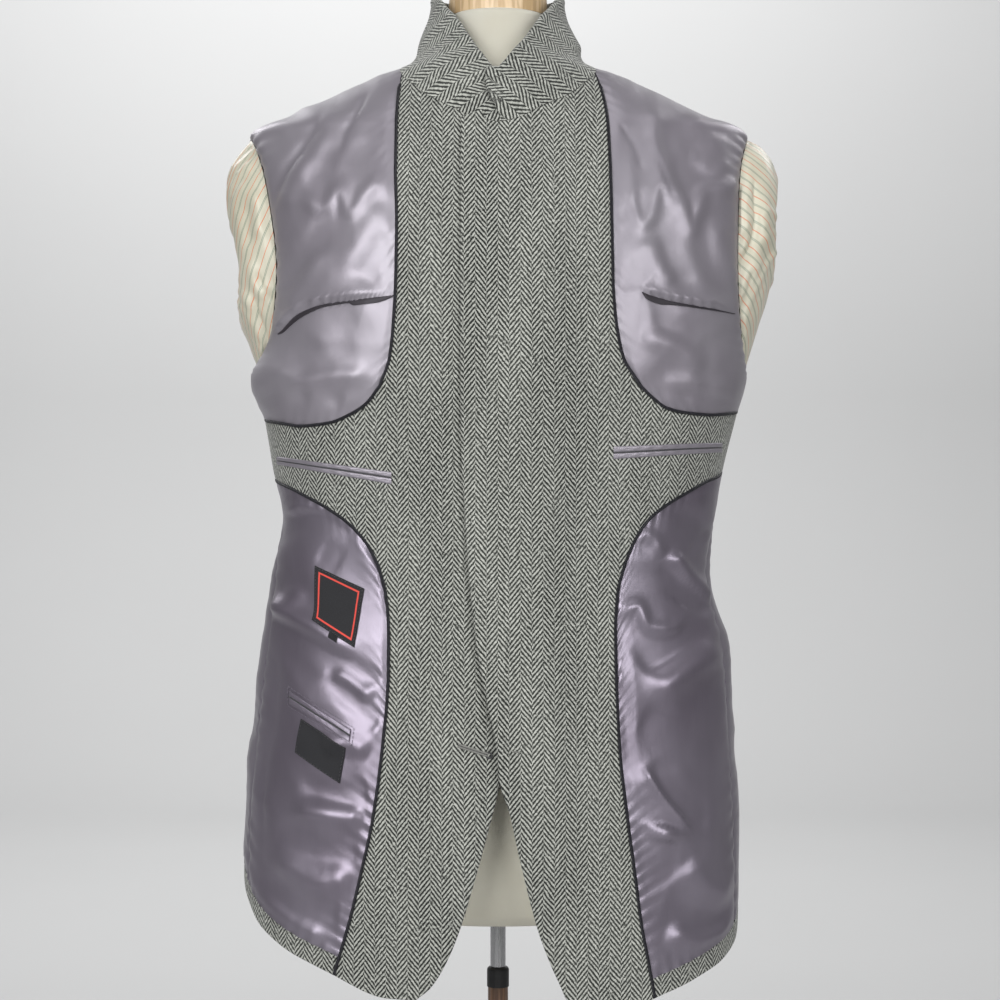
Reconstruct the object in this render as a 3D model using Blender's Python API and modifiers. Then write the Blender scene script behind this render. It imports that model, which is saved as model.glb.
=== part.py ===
"""A tweed sport coat, worn inside out with its collar up, on a limbless dress form with a stand.

Metres, +Z up, the coat's front faces -Y. The origin is on the floor, at the stand's axis.
Left and right are those of a viewer in front of the coat: left is -X.

A place on the coat is a pair (reach, row). Reach is the angle in degrees round the body from the
front centre towards one side: 90 is the side, 180 the centre back, and a negative reach lies past
the front centre. A row is a height, except near the hem, where rows follow the hem as it climbs
towards the sides. The shell's inner face is the body surface, and every other layer stands out
from it by its own distance.
"""

from bisect import bisect_right
from math import atan2, cos, degrees, hypot, pi, radians, sin

import bmesh
import bpy
from mathutils import Vector

PART = "sport_coat_on_dress_form"

# Layers, as distances outwards from the body surface.
SEAM = 0.0004
SHELL_THICK = 0.0015
LINING_OUT = 0.0020
LINING_THICK = 0.0012
SURFACE = LINING_OUT + LINING_THICK
PIPING_RADIUS = 0.0016
PIPING_OUT = SURFACE + 0.0004 + PIPING_RADIUS
PIPING_STOPS = 3
TRIM_OUT = SURFACE + 0.0004
WELT_THICK = 0.0012
LABEL_THICK = 0.0010
WELD = 1e-5
TRIM_WELD = 5e-4
SHARPEST_TIP = 0.01

# Heights of the rows that several pieces share.
HEM = 0.650
LINING_HEM = 0.668
HEM_RISE_ENDS = 1.000
LOWER_BEND = 1.018
UPPER_BEND = 1.1725
NECK_POINT = 1.464
SIDE = 90.0
SKIRT_SEAM = 78.0

# The body surface: half widths to either side, depths to front and back, and squareness.
SECTION_COLUMNS = ("height", "left", "right", "front", "back", "power")
SECTIONS = (
    (0.635, 0.2265, 0.2140, 0.141, 0.120, 2.3),
    (0.770, 0.2265, 0.2140, 0.140, 0.122, 2.3),
    (0.865, 0.2195, 0.2097, 0.134, 0.120, 2.3),
    (0.942, 0.2105, 0.2047, 0.126, 0.110, 2.35),
    (1.015, 0.1995, 0.1870, 0.118, 0.097, 2.4),
    (1.060, 0.1915, 0.1915, 0.116, 0.092, 2.4),
    (1.103, 0.2005, 0.2005, 0.119, 0.096, 2.4),
    (1.150, 0.2085, 0.2125, 0.125, 0.104, 2.4),
    (1.177, 0.2140, 0.2185, 0.129, 0.110, 2.4),
    (1.230, 0.2050, 0.2210, 0.133, 0.119, 2.4),
    (1.274, 0.2060, 0.2235, 0.133, 0.124, 2.35),
    (1.336, 0.2150, 0.2270, 0.124, 0.126, 2.25),
    (1.385, 0.2210, 0.2260, 0.108, 0.118, 2.1),
    (1.402, 0.2220, 0.2240, 0.101, 0.112, 2.0),
    (1.418, 0.1870, 0.1870, 0.094, 0.104, 2.0),
    (1.434, 0.1525, 0.1525, 0.087, 0.095, 2.0),
    (1.450, 0.1180, 0.1180, 0.079, 0.085, 2.0),
    (1.464, 0.0800, 0.0800, 0.071, 0.075, 2.0),
    (1.475, 0.0690, 0.0690, 0.066, 0.069, 2.0),
    (1.490, 0.0635, 0.0635, 0.061, 0.064, 2.0),
    (1.511, 0.0555, 0.0555, 0.056, 0.060, 2.0),
    (1.530, 0.0525, 0.0525, 0.053, 0.058, 2.0),
    (1.546, 0.0515, 0.0515, 0.052, 0.057, 2.0),
)

# How far the hem climbs above its lowest row, by reach.
HEM_RISE_COLUMNS = ("reach", "left", "right")
HEM_RISE = (
    (0.0, 0.0000, -0.0150),
    (35.0, 0.0020, -0.0120),
    (52.0, 0.0220, 0.0025),
    (63.0, 0.0365, 0.0140),
    (72.0, 0.0530, 0.0240),
    (79.0, 0.0720, 0.0350),
    (90.0, 0.1000, 0.0620),
    (110.0, 0.1030, 0.0850),
    (180.0, 0.0950, 0.0950),
)

# Distance of each front's edge from the centre line, towards its own side.
EDGE_COLUMNS = ("height", "left", "right")
FRONT_EDGE = (
    (0.620, 0.0950, 0.0860),
    (0.636, 0.0830, 0.0700),
    (0.650, 0.0710, 0.0588),
    (0.662, 0.0569, 0.0535),
    (0.684, 0.0433, 0.0437),
    (0.711, 0.0322, 0.0338),
    (0.747, 0.0212, 0.0241),
    (0.787, 0.0101, 0.0148),
    (0.813, 0.0033, 0.0090),
    (0.8345, -0.0018, 0.0018),
    (0.865, -0.0100, -0.0015),
    (0.900, -0.0200, -0.0085),
    (0.950, -0.0270, -0.0180),
    (1.030, -0.0300, -0.0258),
    (1.150, -0.0300, -0.0315),
    (1.402, -0.0300, -0.0315),
)

# The piped seams between tweed facing and satin lining, above and below the side bands.
UPPER_PIPING = (
    (1.1725, 0.1000, 0.1215),
    (1.1973, 0.0914, 0.1060),
    (1.2300, 0.0879, 0.0996),
    (1.2620, 0.0862, 0.0972),
    (1.3124, 0.0856, 0.0965),
    (1.3635, 0.0872, 0.0957),
    (1.4000, 0.0872, 0.0945),
    (1.4377, 0.0853, 0.0885),
    (1.4500, 0.0835, 0.0850),
    (1.4640, 0.0800, 0.0800),
)
LOWER_PIPING = (
    (0.635, 0.1480, 0.1340),
    (0.653, 0.1435, 0.1318),
    (0.675, 0.1370, 0.1280),
    (0.715, 0.1255, 0.1208),
    (0.760, 0.1147, 0.1149),
    (0.800, 0.1061, 0.1097),
    (0.860, 0.0979, 0.1030),
    (0.930, 0.0926, 0.1001),
    (0.965, 0.0928, 0.0998),
    (0.995, 0.0955, 0.1018),
    (1.018, 0.1016, 0.1077),
)

# The tweed band that runs from each facing to the side: distances out and heights of its edges.
BAND_COLUMNS = ("top_out", "top_height", "low_out", "low_height")
BAND = {
    -1: (
        (0.1000, 1.1725, 0.1016, 1.0180),
        (0.1120, 1.1580, 0.1113, 1.0360),
        (0.1260, 1.1490, 0.1260, 1.0530),
        (0.1450, 1.1420, 0.1460, 1.0680),
        (0.1680, 1.1400, 0.1665, 1.0795),
        (0.1900, 1.1435, 0.1850, 1.0885),
    ),
    1: (
        (0.1215, 1.1725, 0.1077, 1.0180),
        (0.1320, 1.1630, 0.1158, 1.0380),
        (0.1450, 1.1545, 0.1270, 1.0560),
        (0.1630, 1.1510, 0.1430, 1.0700),
        (0.1820, 1.1500, 0.1630, 1.0820),
        (0.2000, 1.1520, 0.1830, 1.0930),
    ),
}
BAND_SIDE = {-1: (1.1495, 1.0968), 1: (1.1568, 1.1032)}

# The neckline of each front, from the lapel's corner to the neck point of the shoulder.
NECKLINE_COLUMNS = ("out", "height", "piping_height")
NECKLINE = (
    (-0.0050, 1.4120, 1.4120),
    (0.0260, 1.4225, 1.4240),
    (0.0500, 1.4335, 1.4360),
    (0.0660, 1.4430, 1.4470),
    (0.0760, 1.4515, 1.4550),
    (0.0795, 1.4570, 1.4605),
)
NECK_TOP = 1.402
FACING_ROWS = (1.215, 1.262, 1.312, 1.360)
BAND_ROWS = (1.060, 1.098, 1.135)
SKIRT_ROWS = (0.705, 0.750, 0.795, 0.8345, 0.880, 0.925, 0.975)
FACING_COLUMNS = 4
BACK_COLUMNS = 8
BACK_CROWDING = 1.35
SHOULDER_STEPS = 6
BACK_YOKE = 1.388
SIDE_STEPS = 2

# The armhole is an oval, seen from the side.
ARMHOLE_TOP = 1.402
ARMHOLE_BOTTOM = 1.188
ARMHOLE_FRONT = 0.058
ARMHOLE_BACK = 0.056
ARMHOLE_STEPS = 10

# The right front laps over the left: how far it is lifted there, by height.
LAP_COLUMNS = ("height", "lift")
LAP = ((0.70, 0.0), (0.80, 0.0060), (0.86, 0.0074), (1.03, 0.0074), (1.15, 0.0046), (1.46, 0.0042))
LAP_FULL = 0.034
LAP_ENDS = 0.075

# Soft folds of the lining: ends as (x, height), half width and height of the fold, by piece.
FOLD_COLUMNS = ("x1", "z1", "x2", "z2", "width", "height")
FOLDS = {
    "chest_lining_left": (
        (-0.192, 1.228, -0.098, 1.262, 0.020, 0.0040),
        (-0.185, 1.310, -0.150, 1.380, 0.018, 0.0025),
        (-0.160, 1.320, -0.120, 1.385, 0.016, 0.0022),
    ),
    "chest_lining_right": (
        (0.105, 1.255, 0.200, 1.240, 0.020, 0.0040),
        (0.130, 1.400, 0.165, 1.290, 0.018, 0.0030),
    ),
    "skirt_lining_left": (
        (-0.185, 0.960, -0.120, 0.900, 0.022, 0.0030),
        (-0.175, 0.760, -0.135, 0.820, 0.020, 0.0030),
    ),
    "skirt_lining_right": (
        (0.120, 1.030, 0.175, 0.970, 0.020, 0.0040),
        (0.135, 0.850, 0.165, 0.780, 0.018, 0.0035),
        (0.130, 0.740, 0.175, 0.700, 0.018, 0.0025),
    ),
}

# The sleeve, ring by ring, from the armhole seam over the puff and down inside the body.
# half_depth is front to back, half_height up and down, out is beyond the body surface,
# tilt tips the ring's top inwards, and below the puff the ring lies level.
SLEEVE_COLUMNS = ("half_depth", "half_height", "centre", "out", "tilt")
PUFF = {
    -1: (
        (0.0567, 0.1062, 1.2952, 0.0024, 0.0000),
        (0.0565, 0.0970, 1.2960, 0.0100, 0.0000),
        (0.0520, 0.0820, 1.2980, 0.0200, 0.0000),
        (0.0430, 0.0640, 1.2950, 0.0280, 0.0000),
        (0.0330, 0.0480, 1.2880, 0.0300, 0.0000),
        (0.0255, 0.0380, 1.2790, 0.0250, 0.0000),
        (0.0240, 0.0340, 1.2680, 0.0100, 0.0010),
    ),
    1: (
        (0.0567, 0.1062, 1.2952, 0.0022, 0.0000),
        (0.0565, 0.0960, 1.3020, 0.0080, 0.0000),
        (0.0520, 0.0780, 1.3130, 0.0160, 0.0000),
        (0.0430, 0.0590, 1.3200, 0.0230, 0.0000),
        (0.0330, 0.0440, 1.3190, 0.0270, 0.0000),
        (0.0255, 0.0350, 1.3090, 0.0220, 0.0000),
        (0.0240, 0.0320, 1.2880, 0.0080, 0.0010),
    ),
}
SLEEVE_RINGS = (
    (0.0290, 0.0330, 1.2550, -0.0090, 0.0040),
    (0.0380, 0.0260, 1.2250, -0.0165, 0.0070),
    (0.0460, 0.0150, 1.1850, -0.0190, 0.0090),
    (0.0500, 0.0030, 1.1300, -0.0185, 0.0090),
    (0.0500, 0.0000, 1.0700, -0.0180, 0.0085),
    (0.0500, 0.0000, 1.0100, -0.0185, 0.0085),
    (0.0540, 0.0000, 0.9300, -0.0200, 0.0090),
    (0.0580, 0.0000, 0.8400, -0.0200, 0.0090),
)
SLEEVE_RING_POINTS = 2 * ARMHOLE_STEPS
SLEEVE_FORWARD = (ARMHOLE_FRONT - ARMHOLE_BACK) / 2
SLEEVE_LINING_THICK = 0.0012
SLEEVE_CLOTH_FROM = 2
SLEEVE_CLOTH_CLEAR = 0.0009
SLEEVE_CLOTH_THICK = 0.0015

# The collar, turned up and closed: its lower and upper edges by angle from the front centre.
COLLAR_COLUMNS = ("angle", "low", "high")
COLLAR = (
    (0.0, 1.4080, 1.4580),
    (10.0, 1.4120, 1.4730),
    (20.0, 1.4200, 1.4870),
    (35.0, 1.4310, 1.5020),
    (47.0, 1.4430, 1.5120),
    (60.0, 1.4520, 1.5220),
    (90.0, 1.4590, 1.5310),
    (180.0, 1.4590, 1.5370),
)
COLLAR_THICK = 0.0030
COLLAR_SEGMENTS = 32
COLLAR_ROWS = 5
COLLAR_CROWDING = 0.35
COLLAR_START = 2.0
# How far out each end stands, by angle past the front centre, so that the right end laps the left.
COLLAR_STAND_COLUMNS = ("angle", "left", "right")
COLLAR_STAND = (
    (0.0, 0.0088, 0.0126),
    (12.0, 0.0088, 0.0122),
    (25.0, 0.0086, 0.0098),
    (50.0, 0.0046, 0.0050),
    (70.0, 0.0042, 0.0042),
    (180.0, 0.0042, 0.0042),
)
# The right end's outline: how far past the centre it reaches, by share of the collar's height.
COLLAR_END = ((0.0, -2.0), (0.25, 1.5), (0.5, 6.0), (0.75, 7.0), (1.0, 0.5))

# Trim on the facings and linings, as corners (x, height): the corners run round the piece.
WELTS = {
    "breast_welt_upper_left": (
        "facing_left",
        ((-0.1930, 1.1140), (-0.0905, 1.0992), (-0.0905, 1.0948), (-0.1930, 1.1108)),
    ),
    "breast_welt_lower_left": (
        "facing_left",
        ((-0.1930, 1.1102), (-0.0905, 1.0940), (-0.0905, 1.0888), (-0.1930, 1.1070)),
    ),
    "breast_welt_upper_right": (
        "facing_right",
        ((0.0985, 1.1212), (0.1960, 1.1262), (0.1960, 1.1226), (0.0985, 1.1162)),
    ),
    "breast_welt_lower_right": (
        "facing_right",
        ((0.0985, 1.1154), (0.1960, 1.1218), (0.1960, 1.1180), (0.0985, 1.1104)),
    ),
    "pocket_welt_upper_left": (
        "skirt_lining_left",
        ((-0.1765, 0.9085), (-0.1240, 0.8785), (-0.1242, 0.8740), (-0.1767, 0.9040)),
    ),
    "pocket_welt_lower_left": (
        "skirt_lining_left",
        ((-0.1767, 0.9032), (-0.1242, 0.8732), (-0.1244, 0.8682), (-0.1769, 0.8980)),
    ),
}
LABELS = {
    "label_main": ((-0.1590, 1.0175), (-0.1160, 0.9985), (-0.1237, 0.9480), (-0.1590, 0.9704)),
    "label_size": ((-0.1440, 0.9592), (-0.1375, 0.9552), (-0.1385, 0.9480), (-0.1450, 0.9522)),
    "label_care": ((-0.1704, 0.8840), (-0.1310, 0.8612), (-0.1370, 0.8310), (-0.1757, 0.8548)),
}

# Buttons, under the right front.
BUTTON_X = 0.0146
BUTTON_HEIGHTS = (0.861, 0.971)
BUTTON_RADIUS = 0.010
BUTTON_THICK = 0.0028
BUTTON_OUT = 0.0052

# The dress form.
FORM_COLUMNS = ("height", "half_width", "front", "back")
FORM = (
    (0.700, 0.1080, 0.066, 0.062),
    (0.712, 0.1340, 0.082, 0.078),
    (0.750, 0.1540, 0.098, 0.094),
    (0.865, 0.1640, 0.110, 0.105),
    (0.942, 0.1580, 0.106, 0.094),
    (1.015, 0.1500, 0.100, 0.082),
    (1.070, 0.1490, 0.098, 0.077),
    (1.130, 0.1540, 0.103, 0.083),
    (1.190, 0.1600, 0.112, 0.094),
    (1.260, 0.1650, 0.117, 0.106),
    (1.336, 0.1680, 0.108, 0.110),
    (1.390, 0.1720, 0.092, 0.100),
    (1.408, 0.1750, 0.084, 0.092),
    (1.4227, 0.1752, 0.078, 0.085),
    (1.433, 0.1530, 0.072, 0.078),
    (1.4433, 0.1308, 0.067, 0.071),
    (1.455, 0.0900, 0.060, 0.062),
    (1.466, 0.0590, 0.052, 0.054),
    (1.480, 0.0470, 0.048, 0.050),
    (1.5125, 0.0435, 0.046, 0.048),
)
FORM_SEGMENTS = 24
FORM_EASE = 0.0034
FORM_TOUCH = (1.4433, 1.433, 1.4227)
CLEAR = 0.0003

# The neck cap and the stand, as turned profiles (radius, height), top to bottom.
CAP_BOTTOM = FORM[-1][0] + CLEAR
CAP_HEIGHT = 0.030
CAP_RADIUS = 0.0445
POLE_RADIUS = 0.0070
POST_RADIUS = 0.0092
POST_TOP = 0.633
RING_RADIUS = 0.0100
RING_HEIGHT = 0.018
BASE_RADIUS = 0.185
BASE_HEIGHT = 0.016
BASE_EDGE = 0.006
TURN_STEPS = 24

FINISHES = {
    "tweed": ((0.23, 0.24, 0.21), 0.95, 0.0),
    "satin": ((0.30, 0.28, 0.33), 0.35, 0.0),
    "sleeve_satin": ((0.66, 0.62, 0.47), 0.40, 0.0),
    "piping": ((0.012, 0.012, 0.016), 0.45, 0.0),
    "label": ((0.016, 0.016, 0.018), 0.80, 0.0),
    "horn": ((0.055, 0.038, 0.028), 0.35, 0.0),
    "form_cloth": ((0.88, 0.85, 0.74), 0.75, 0.0),
    "wood": ((0.62, 0.44, 0.23), 0.45, 0.0),
    "dark_wood": ((0.17, 0.09, 0.05), 0.45, 0.0),
    "steel": ((0.55, 0.55, 0.56), 0.30, 1.0),
    "black_metal": ((0.02, 0.02, 0.02), 0.40, 1.0),
}


# ------------------------------------------------------------------ curves through the tables

def smooth_curve(places, values):
    """A curve through the values that doesn't overshoot them."""
    steps = [b - a for a, b in zip(places, places[1:])]
    rates = [(b - a) / step for a, b, step in zip(values, values[1:], steps)]
    slopes = [rates[0]]
    for before, after in zip(rates, rates[1:]):
        level = before * after <= 0
        slopes.append(0.0 if level else 2 * before * after / (before + after))
    slopes.append(rates[-1])

    def value(place):
        place = min(max(place, places[0]), places[-1])
        i = min(bisect_right(places, place), len(places) - 1) - 1
        t = (place - places[i]) / steps[i]
        start = values[i] * (1 + 2 * t) * (1 - t) ** 2 + slopes[i] * steps[i] * t * (1 - t) ** 2
        end = values[i + 1] * t * t * (3 - 2 * t) + slopes[i + 1] * steps[i] * t * t * (t - 1)
        return start + end

    return value


def curves_of(table, columns):
    """One curve for each column after the first, by the column's name."""
    places = [row[0] for row in table]
    return {
        name: smooth_curve(places, [row[i] for row in table])
        for i, name in enumerate(columns)
        if i
    }


SECTION = curves_of(SECTIONS, SECTION_COLUMNS)
RISE = curves_of(HEM_RISE, HEM_RISE_COLUMNS)
EDGE = curves_of(FRONT_EDGE, EDGE_COLUMNS)
UPPER = curves_of(UPPER_PIPING, EDGE_COLUMNS)
LOWER = curves_of(LOWER_PIPING, EDGE_COLUMNS)
LAP_LIFT = curves_of(LAP, LAP_COLUMNS)["lift"]
COLLAR_EDGE = curves_of(COLLAR, COLLAR_COLUMNS)
STAND = curves_of(COLLAR_STAND, COLLAR_STAND_COLUMNS)
COLLAR_REACH = curves_of(COLLAR_END, ("share", "past"))["past"]
FORM_SIZE = curves_of(FORM, FORM_COLUMNS)
SIDE_NAME = {-1: "left", 1: "right"}


def smooth_step(value):
    value = min(max(value, 0.0), 1.0)
    return value * value * (3 - 2 * value)


# ------------------------------------------------------------------ the body surface

def half_width(side, height):
    return SECTION[SIDE_NAME[side]](height)


def hem_rise(side, reach, row):
    """How far a place on this row stands above the row's own height."""
    fade = smooth_step((HEM_RISE_ENDS - row) / (HEM_RISE_ENDS - HEM))
    return RISE[SIDE_NAME[side]](abs(reach)) * fade


def surface_point(side, reach, row):
    """The body surface's point at this reach towards this side, on this row."""
    turned = (reach + 180.0) % 360.0 - 180.0
    height = row + hem_rise(side, turned, row)
    if turned < 0:
        side, turned = -side, -turned
    across, ahead = sin(radians(turned)), cos(radians(turned))
    power = SECTION["power"](height)
    depth = SECTION["front" if ahead > 0 else "back"](height)
    sum_of_powers = (abs(across) / half_width(side, height)) ** power + (abs(ahead) / depth) ** power
    radius = sum_of_powers ** (-1 / power)
    return Vector((side * radius * across, -radius * ahead, height))


def outward_at(side, reach, row):
    """The body surface's outward direction at this place."""
    around = surface_point(side, reach + 0.1, row) - surface_point(side, reach - 0.1, row)
    along = surface_point(side, reach, row + 0.001) - surface_point(side, reach, row - 0.001)
    return (around.cross(along) * side).normalized()


def body_point(side, reach, row, out):
    """The point this far outside the body surface."""
    return surface_point(side, reach, row) + outward_at(side, reach, row) * out


def reach_at(side, x_out, height):
    """The reach of the front's point at this distance from the centre line, towards this side."""
    power = SECTION["power"](height)
    share = min(abs(x_out) / half_width(side, height), 1.0)
    ahead = SECTION["front"](height) * (1 - share**power) ** (1 / power)
    return degrees(atan2(x_out, ahead))


def row_at(side, reach, height):
    """The row that passes through this height at this reach."""
    row = height
    for _ in range(12):
        row = height - hem_rise(side, reach, row)
    return row


def edge_station(curve, side, row):
    """Where an edge, given as a curve of distance by height, crosses this row."""
    height = row
    reach = 0.0
    for _ in range(12):
        reach = reach_at(side, curve[SIDE_NAME[side]](height), height)
        height = row + hem_rise(side, reach, row)
    return reach, row


def station_at(side, x_out, height):
    reach = reach_at(side, x_out, height)
    return reach, row_at(side, reach, height)


def armhole_station(side, step, behind):
    """A station on the armhole: step 0 is the underarm and ARMHOLE_STEPS the shoulder point."""
    turn = pi * step / ARMHOLE_STEPS
    middle = (ARMHOLE_TOP + ARMHOLE_BOTTOM) / 2
    height = middle - (ARMHOLE_TOP - ARMHOLE_BOTTOM) / 2 * cos(turn)
    depth = (ARMHOLE_BACK if behind else ARMHOLE_FRONT) * sin(turn)
    reach = degrees(atan2(side_distance(side, depth, height, behind), depth))
    return (180 - reach if behind else reach), height


def side_distance(side, depth, height, behind):
    """The body surface's distance from the centre plane, at a depth in front of or behind it."""
    power = SECTION["power"](height)
    share = min(abs(depth) / SECTION["back" if behind else "front"](height), 1.0)
    return half_width(side, height) * (1 - share**power) ** (1 / power)


# ------------------------------------------------------------------ patches of the coat

def between(first, last, steps, crowding=1.0):
    """Stations in a straight run; crowding above 1 draws them towards the first."""
    shares = [(i / steps) ** crowding for i in range(steps + 1)]
    return [tuple(a + (b - a) * share for a, b in zip(first, last)) for share in shares]


def strip_patch(inner, outer, columns, crowding=1.0):
    """Rows of stations, each in a straight run from an inner station to an outer one."""
    return [between(a, b, columns, crowding) for a, b in zip(inner, outer, strict=True)]


def four_sided_patch(left, right, bottom, top):
    """Rows of stations that fill four runs of them: left and right run up, bottom and top across."""
    rows, columns = len(left) - 1, len(bottom) - 1
    patch = []
    for j in range(rows + 1):
        v = j / rows
        row = []
        for i in range(columns + 1):
            u = i / columns
            row.append(tuple(
                (1 - u) * left[j][k] + u * right[j][k] + (1 - v) * bottom[i][k] + v * top[i][k]
                - (1 - u) * (1 - v) * left[0][k] - u * (1 - v) * right[0][k]
                - (1 - u) * v * left[-1][k] - u * v * right[-1][k]
                for k in range(2)
            ))
        patch.append(row)
    return patch


def upper_piping_run(side):
    """The upper piping's stations, from the bend up to the neck point."""
    rows = (UPPER_BEND, *FACING_ROWS, NECK_TOP, *[row[2] for row in NECKLINE])
    return [edge_station(UPPER, side, row) for row in rows] + [(SIDE, NECK_POINT)]


def lower_piping_run(side):
    """The lower piping's stations, from the lining's hem up to the bend."""
    return [edge_station(LOWER, side, row) for row in (LINING_HEM, *SKIRT_ROWS, LOWER_BEND)]


def band_run(side, top):
    """The stations of the side band's upper or lower edge, from the bend to the side."""
    at = 0 if top else 2
    run = [station_at(side, row[at], row[at + 1]) for row in BAND[side]]
    return run + [(SIDE, BAND_SIDE[side][0 if top else 1])]


def band_root(side):
    """Where the side band leaves the facing's strip, from the lower bend to the upper one."""
    low, high = BAND[side][0][2], BAND[side][0][0]
    root = []
    for row in (LOWER_BEND, *BAND_ROWS, UPPER_BEND):
        share = (row - LOWER_BEND) / (UPPER_BEND - LOWER_BEND)
        root.append(station_at(side, low + (high - low) * share, row))
    return root


def facing_patches(side):
    inner = [edge_station(EDGE, side, row) for row in (
        HEM, LINING_HEM, *SKIRT_ROWS, LOWER_BEND, *BAND_ROWS, UPPER_BEND, *FACING_ROWS, NECK_TOP
    )]
    inner += [(reach_at(side, row[0], row[1]), row[1]) for row in NECKLINE]
    outer = [edge_station(LOWER, side, HEM)] + lower_piping_run(side)
    outer += band_root(side)[1:-1] + upper_piping_run(side)[:-1]
    low, top = band_run(side, top=False), band_run(side, top=True)
    band = four_sided_patch(band_root(side), band_seam_run(side), low, top)
    return [strip_patch(inner, outer, FACING_COLUMNS), band]


def chest_patches(side):
    armhole = [armhole_station(side, step, False) for step in range(ARMHOLE_STEPS + 1)]
    band = band_run(side, top=True)
    shoulder = between((SIDE, NECK_POINT), (SIDE, ARMHOLE_TOP), len(band) - 1)
    seam = chest_seam_run(side)[:-1] + armhole
    return [four_sided_patch(upper_piping_run(side), seam, band, shoulder)]


def skirt_seam_run(side):
    """The side seam from the lining's hem up to the side band, which it swings forward from."""
    run = []
    for _, row in between((0.0, LINING_HEM), (0.0, BAND_SIDE[side][1]), len(SKIRT_ROWS) + 1):
        share = smooth_step((BAND_SIDE[side][1] - row) / 0.12)
        run.append((SIDE + (SKIRT_SEAM - SIDE) * share, row))
    return run


def band_seam_run(side):
    """The side seam along the end of the side band."""
    return between((SIDE, BAND_SIDE[side][1]), (SIDE, BAND_SIDE[side][0]), len(BAND_ROWS) + 1)


def chest_seam_run(side):
    """The side seam from the side band up to the armhole."""
    return between((SIDE, BAND_SIDE[side][0]), (SIDE, ARMHOLE_BOTTOM), SIDE_STEPS)


def skirt_patches(side):
    piping, seam = lower_piping_run(side), skirt_seam_run(side)
    top = band_run(side, top=False)
    hem = between(piping[0], seam[0], len(top) - 1)
    return [four_sided_patch(piping, seam, hem, top)]


def front_hem_patches(side):
    first, last = edge_station(LOWER, side, HEM), edge_station(LOWER, side, LINING_HEM)
    ends = [(SKIRT_SEAM, HEM), (SKIRT_SEAM, LINING_HEM)]
    return [strip_patch([first, last], ends, len(BAND[side]))]


def back_hem_patches(side):
    ends = [(180.0, HEM), (180.0, LINING_HEM)]
    starts = [(SKIRT_SEAM, HEM), (SKIRT_SEAM, LINING_HEM)]
    return [strip_patch(starts, ends, BACK_COLUMNS, BACK_CROWDING)]


def back_patches(side):
    """From the side seam, the armhole and the shoulder line to the centre back."""
    seam = skirt_seam_run(side)[:-1] + band_seam_run(side)[:-1] + chest_seam_run(side)[:-1]
    armhole = [armhole_station(side, step, True) for step in range(ARMHOLE_STEPS + 1)]
    shoulder = between((SIDE, ARMHOLE_TOP), (SIDE, NECK_POINT), SHOULDER_STEPS)
    rows = [row for _, row in seam]
    rows += [row for _, row in between((0.0, ARMHOLE_BOTTOM), (0.0, BACK_YOKE), ARMHOLE_STEPS)]
    rows += [row for _, row in between((0.0, BACK_YOKE), (0.0, NECK_POINT), SHOULDER_STEPS)][1:]
    centre = [(180.0, row) for row in rows]
    return [strip_patch(seam + armhole + shoulder[1:], centre, BACK_COLUMNS, BACK_CROWDING)]


# ------------------------------------------------------------------ what lifts a layer

def lap_lift(side, point):
    """The right front's lift over the left one."""
    if side < 0:
        return 0.0
    share = 1 - smooth_step((point.x - LAP_FULL) / (LAP_ENDS - LAP_FULL))
    return LAP_LIFT(point.z) * share


def fold_lift(name, point):
    """The height of the named piece's soft folds at this point."""
    lift = 0.0
    for x1, z1, x2, z2, width, height in FOLDS.get(name, ()):
        run_x, run_z = x2 - x1, z2 - z1
        length = hypot(run_x, run_z)
        along = ((point.x - x1) * run_x + (point.z - z1) * run_z) / length**2
        across = ((point.x - x1) * run_z - (point.z - z1) * run_x) / length
        ends = smooth_step(min(along, 1 - along) * 3)
        lift += height * ends * smooth_step(1 - abs(across) / width)
    return lift


# ------------------------------------------------------------------ Blender objects

def clear_scene():
    for obj in list(bpy.data.objects):
        bpy.data.objects.remove(obj, do_unlink=True)


def new_collection():
    collection = bpy.data.collections.new(PART)
    bpy.context.scene.collection.children.link(collection)
    return collection


def finish_of(name, finish):
    colour, roughness, metallic = FINISHES[finish]
    material = bpy.data.materials.new(f"{name}_{finish}")
    material.use_nodes = True
    shader = material.node_tree.nodes["Principled BSDF"]
    shader.inputs["Base Color"].default_value = (*colour, 1.0)
    shader.inputs["Roughness"].default_value = roughness
    shader.inputs["Metallic"].default_value = metallic
    return material


def add_object(name, data, finish):
    obj = bpy.data.objects.new(name, data)
    COLLECTION.objects.link(obj)
    data.materials.append(finish_of(name, finish))
    return obj


def object_from(name, bm, finish):
    mesh = bpy.data.meshes.new(name)
    bm.to_mesh(mesh)
    bm.free()
    mesh.shade_smooth()
    return add_object(name, mesh, finish)


def map_grid(bm, columns, rows, place, flipped=False):
    """Adds a grid of faces to bm, each point placed by its column and row."""
    grid = bmesh.ops.create_grid(bm, x_segments=columns, y_segments=rows, size=0.5)
    for vert in grid["verts"]:
        column = round((vert.co.x + 0.5) * columns)
        row = round((vert.co.y + 0.5) * rows)
        place(vert, columns - column if flipped else column, row)


def seam_pull(vert):
    """The direction and relative length in which a seam allowance draws this edge point in."""
    pulls = []
    for edge in vert.link_edges:
        if not edge.is_boundary:
            continue
        loop = edge.link_loops[0]
        along = (loop.link_loop_next.vert.co - loop.vert.co).normalized()
        pulls.append(loop.face.normal.cross(along).normalized())
    if len(pulls) != 2:
        return Vector()
    return (pulls[0] + pulls[1]) / max(1 + pulls[0].dot(pulls[1]), SHARPEST_TIP)


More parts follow.
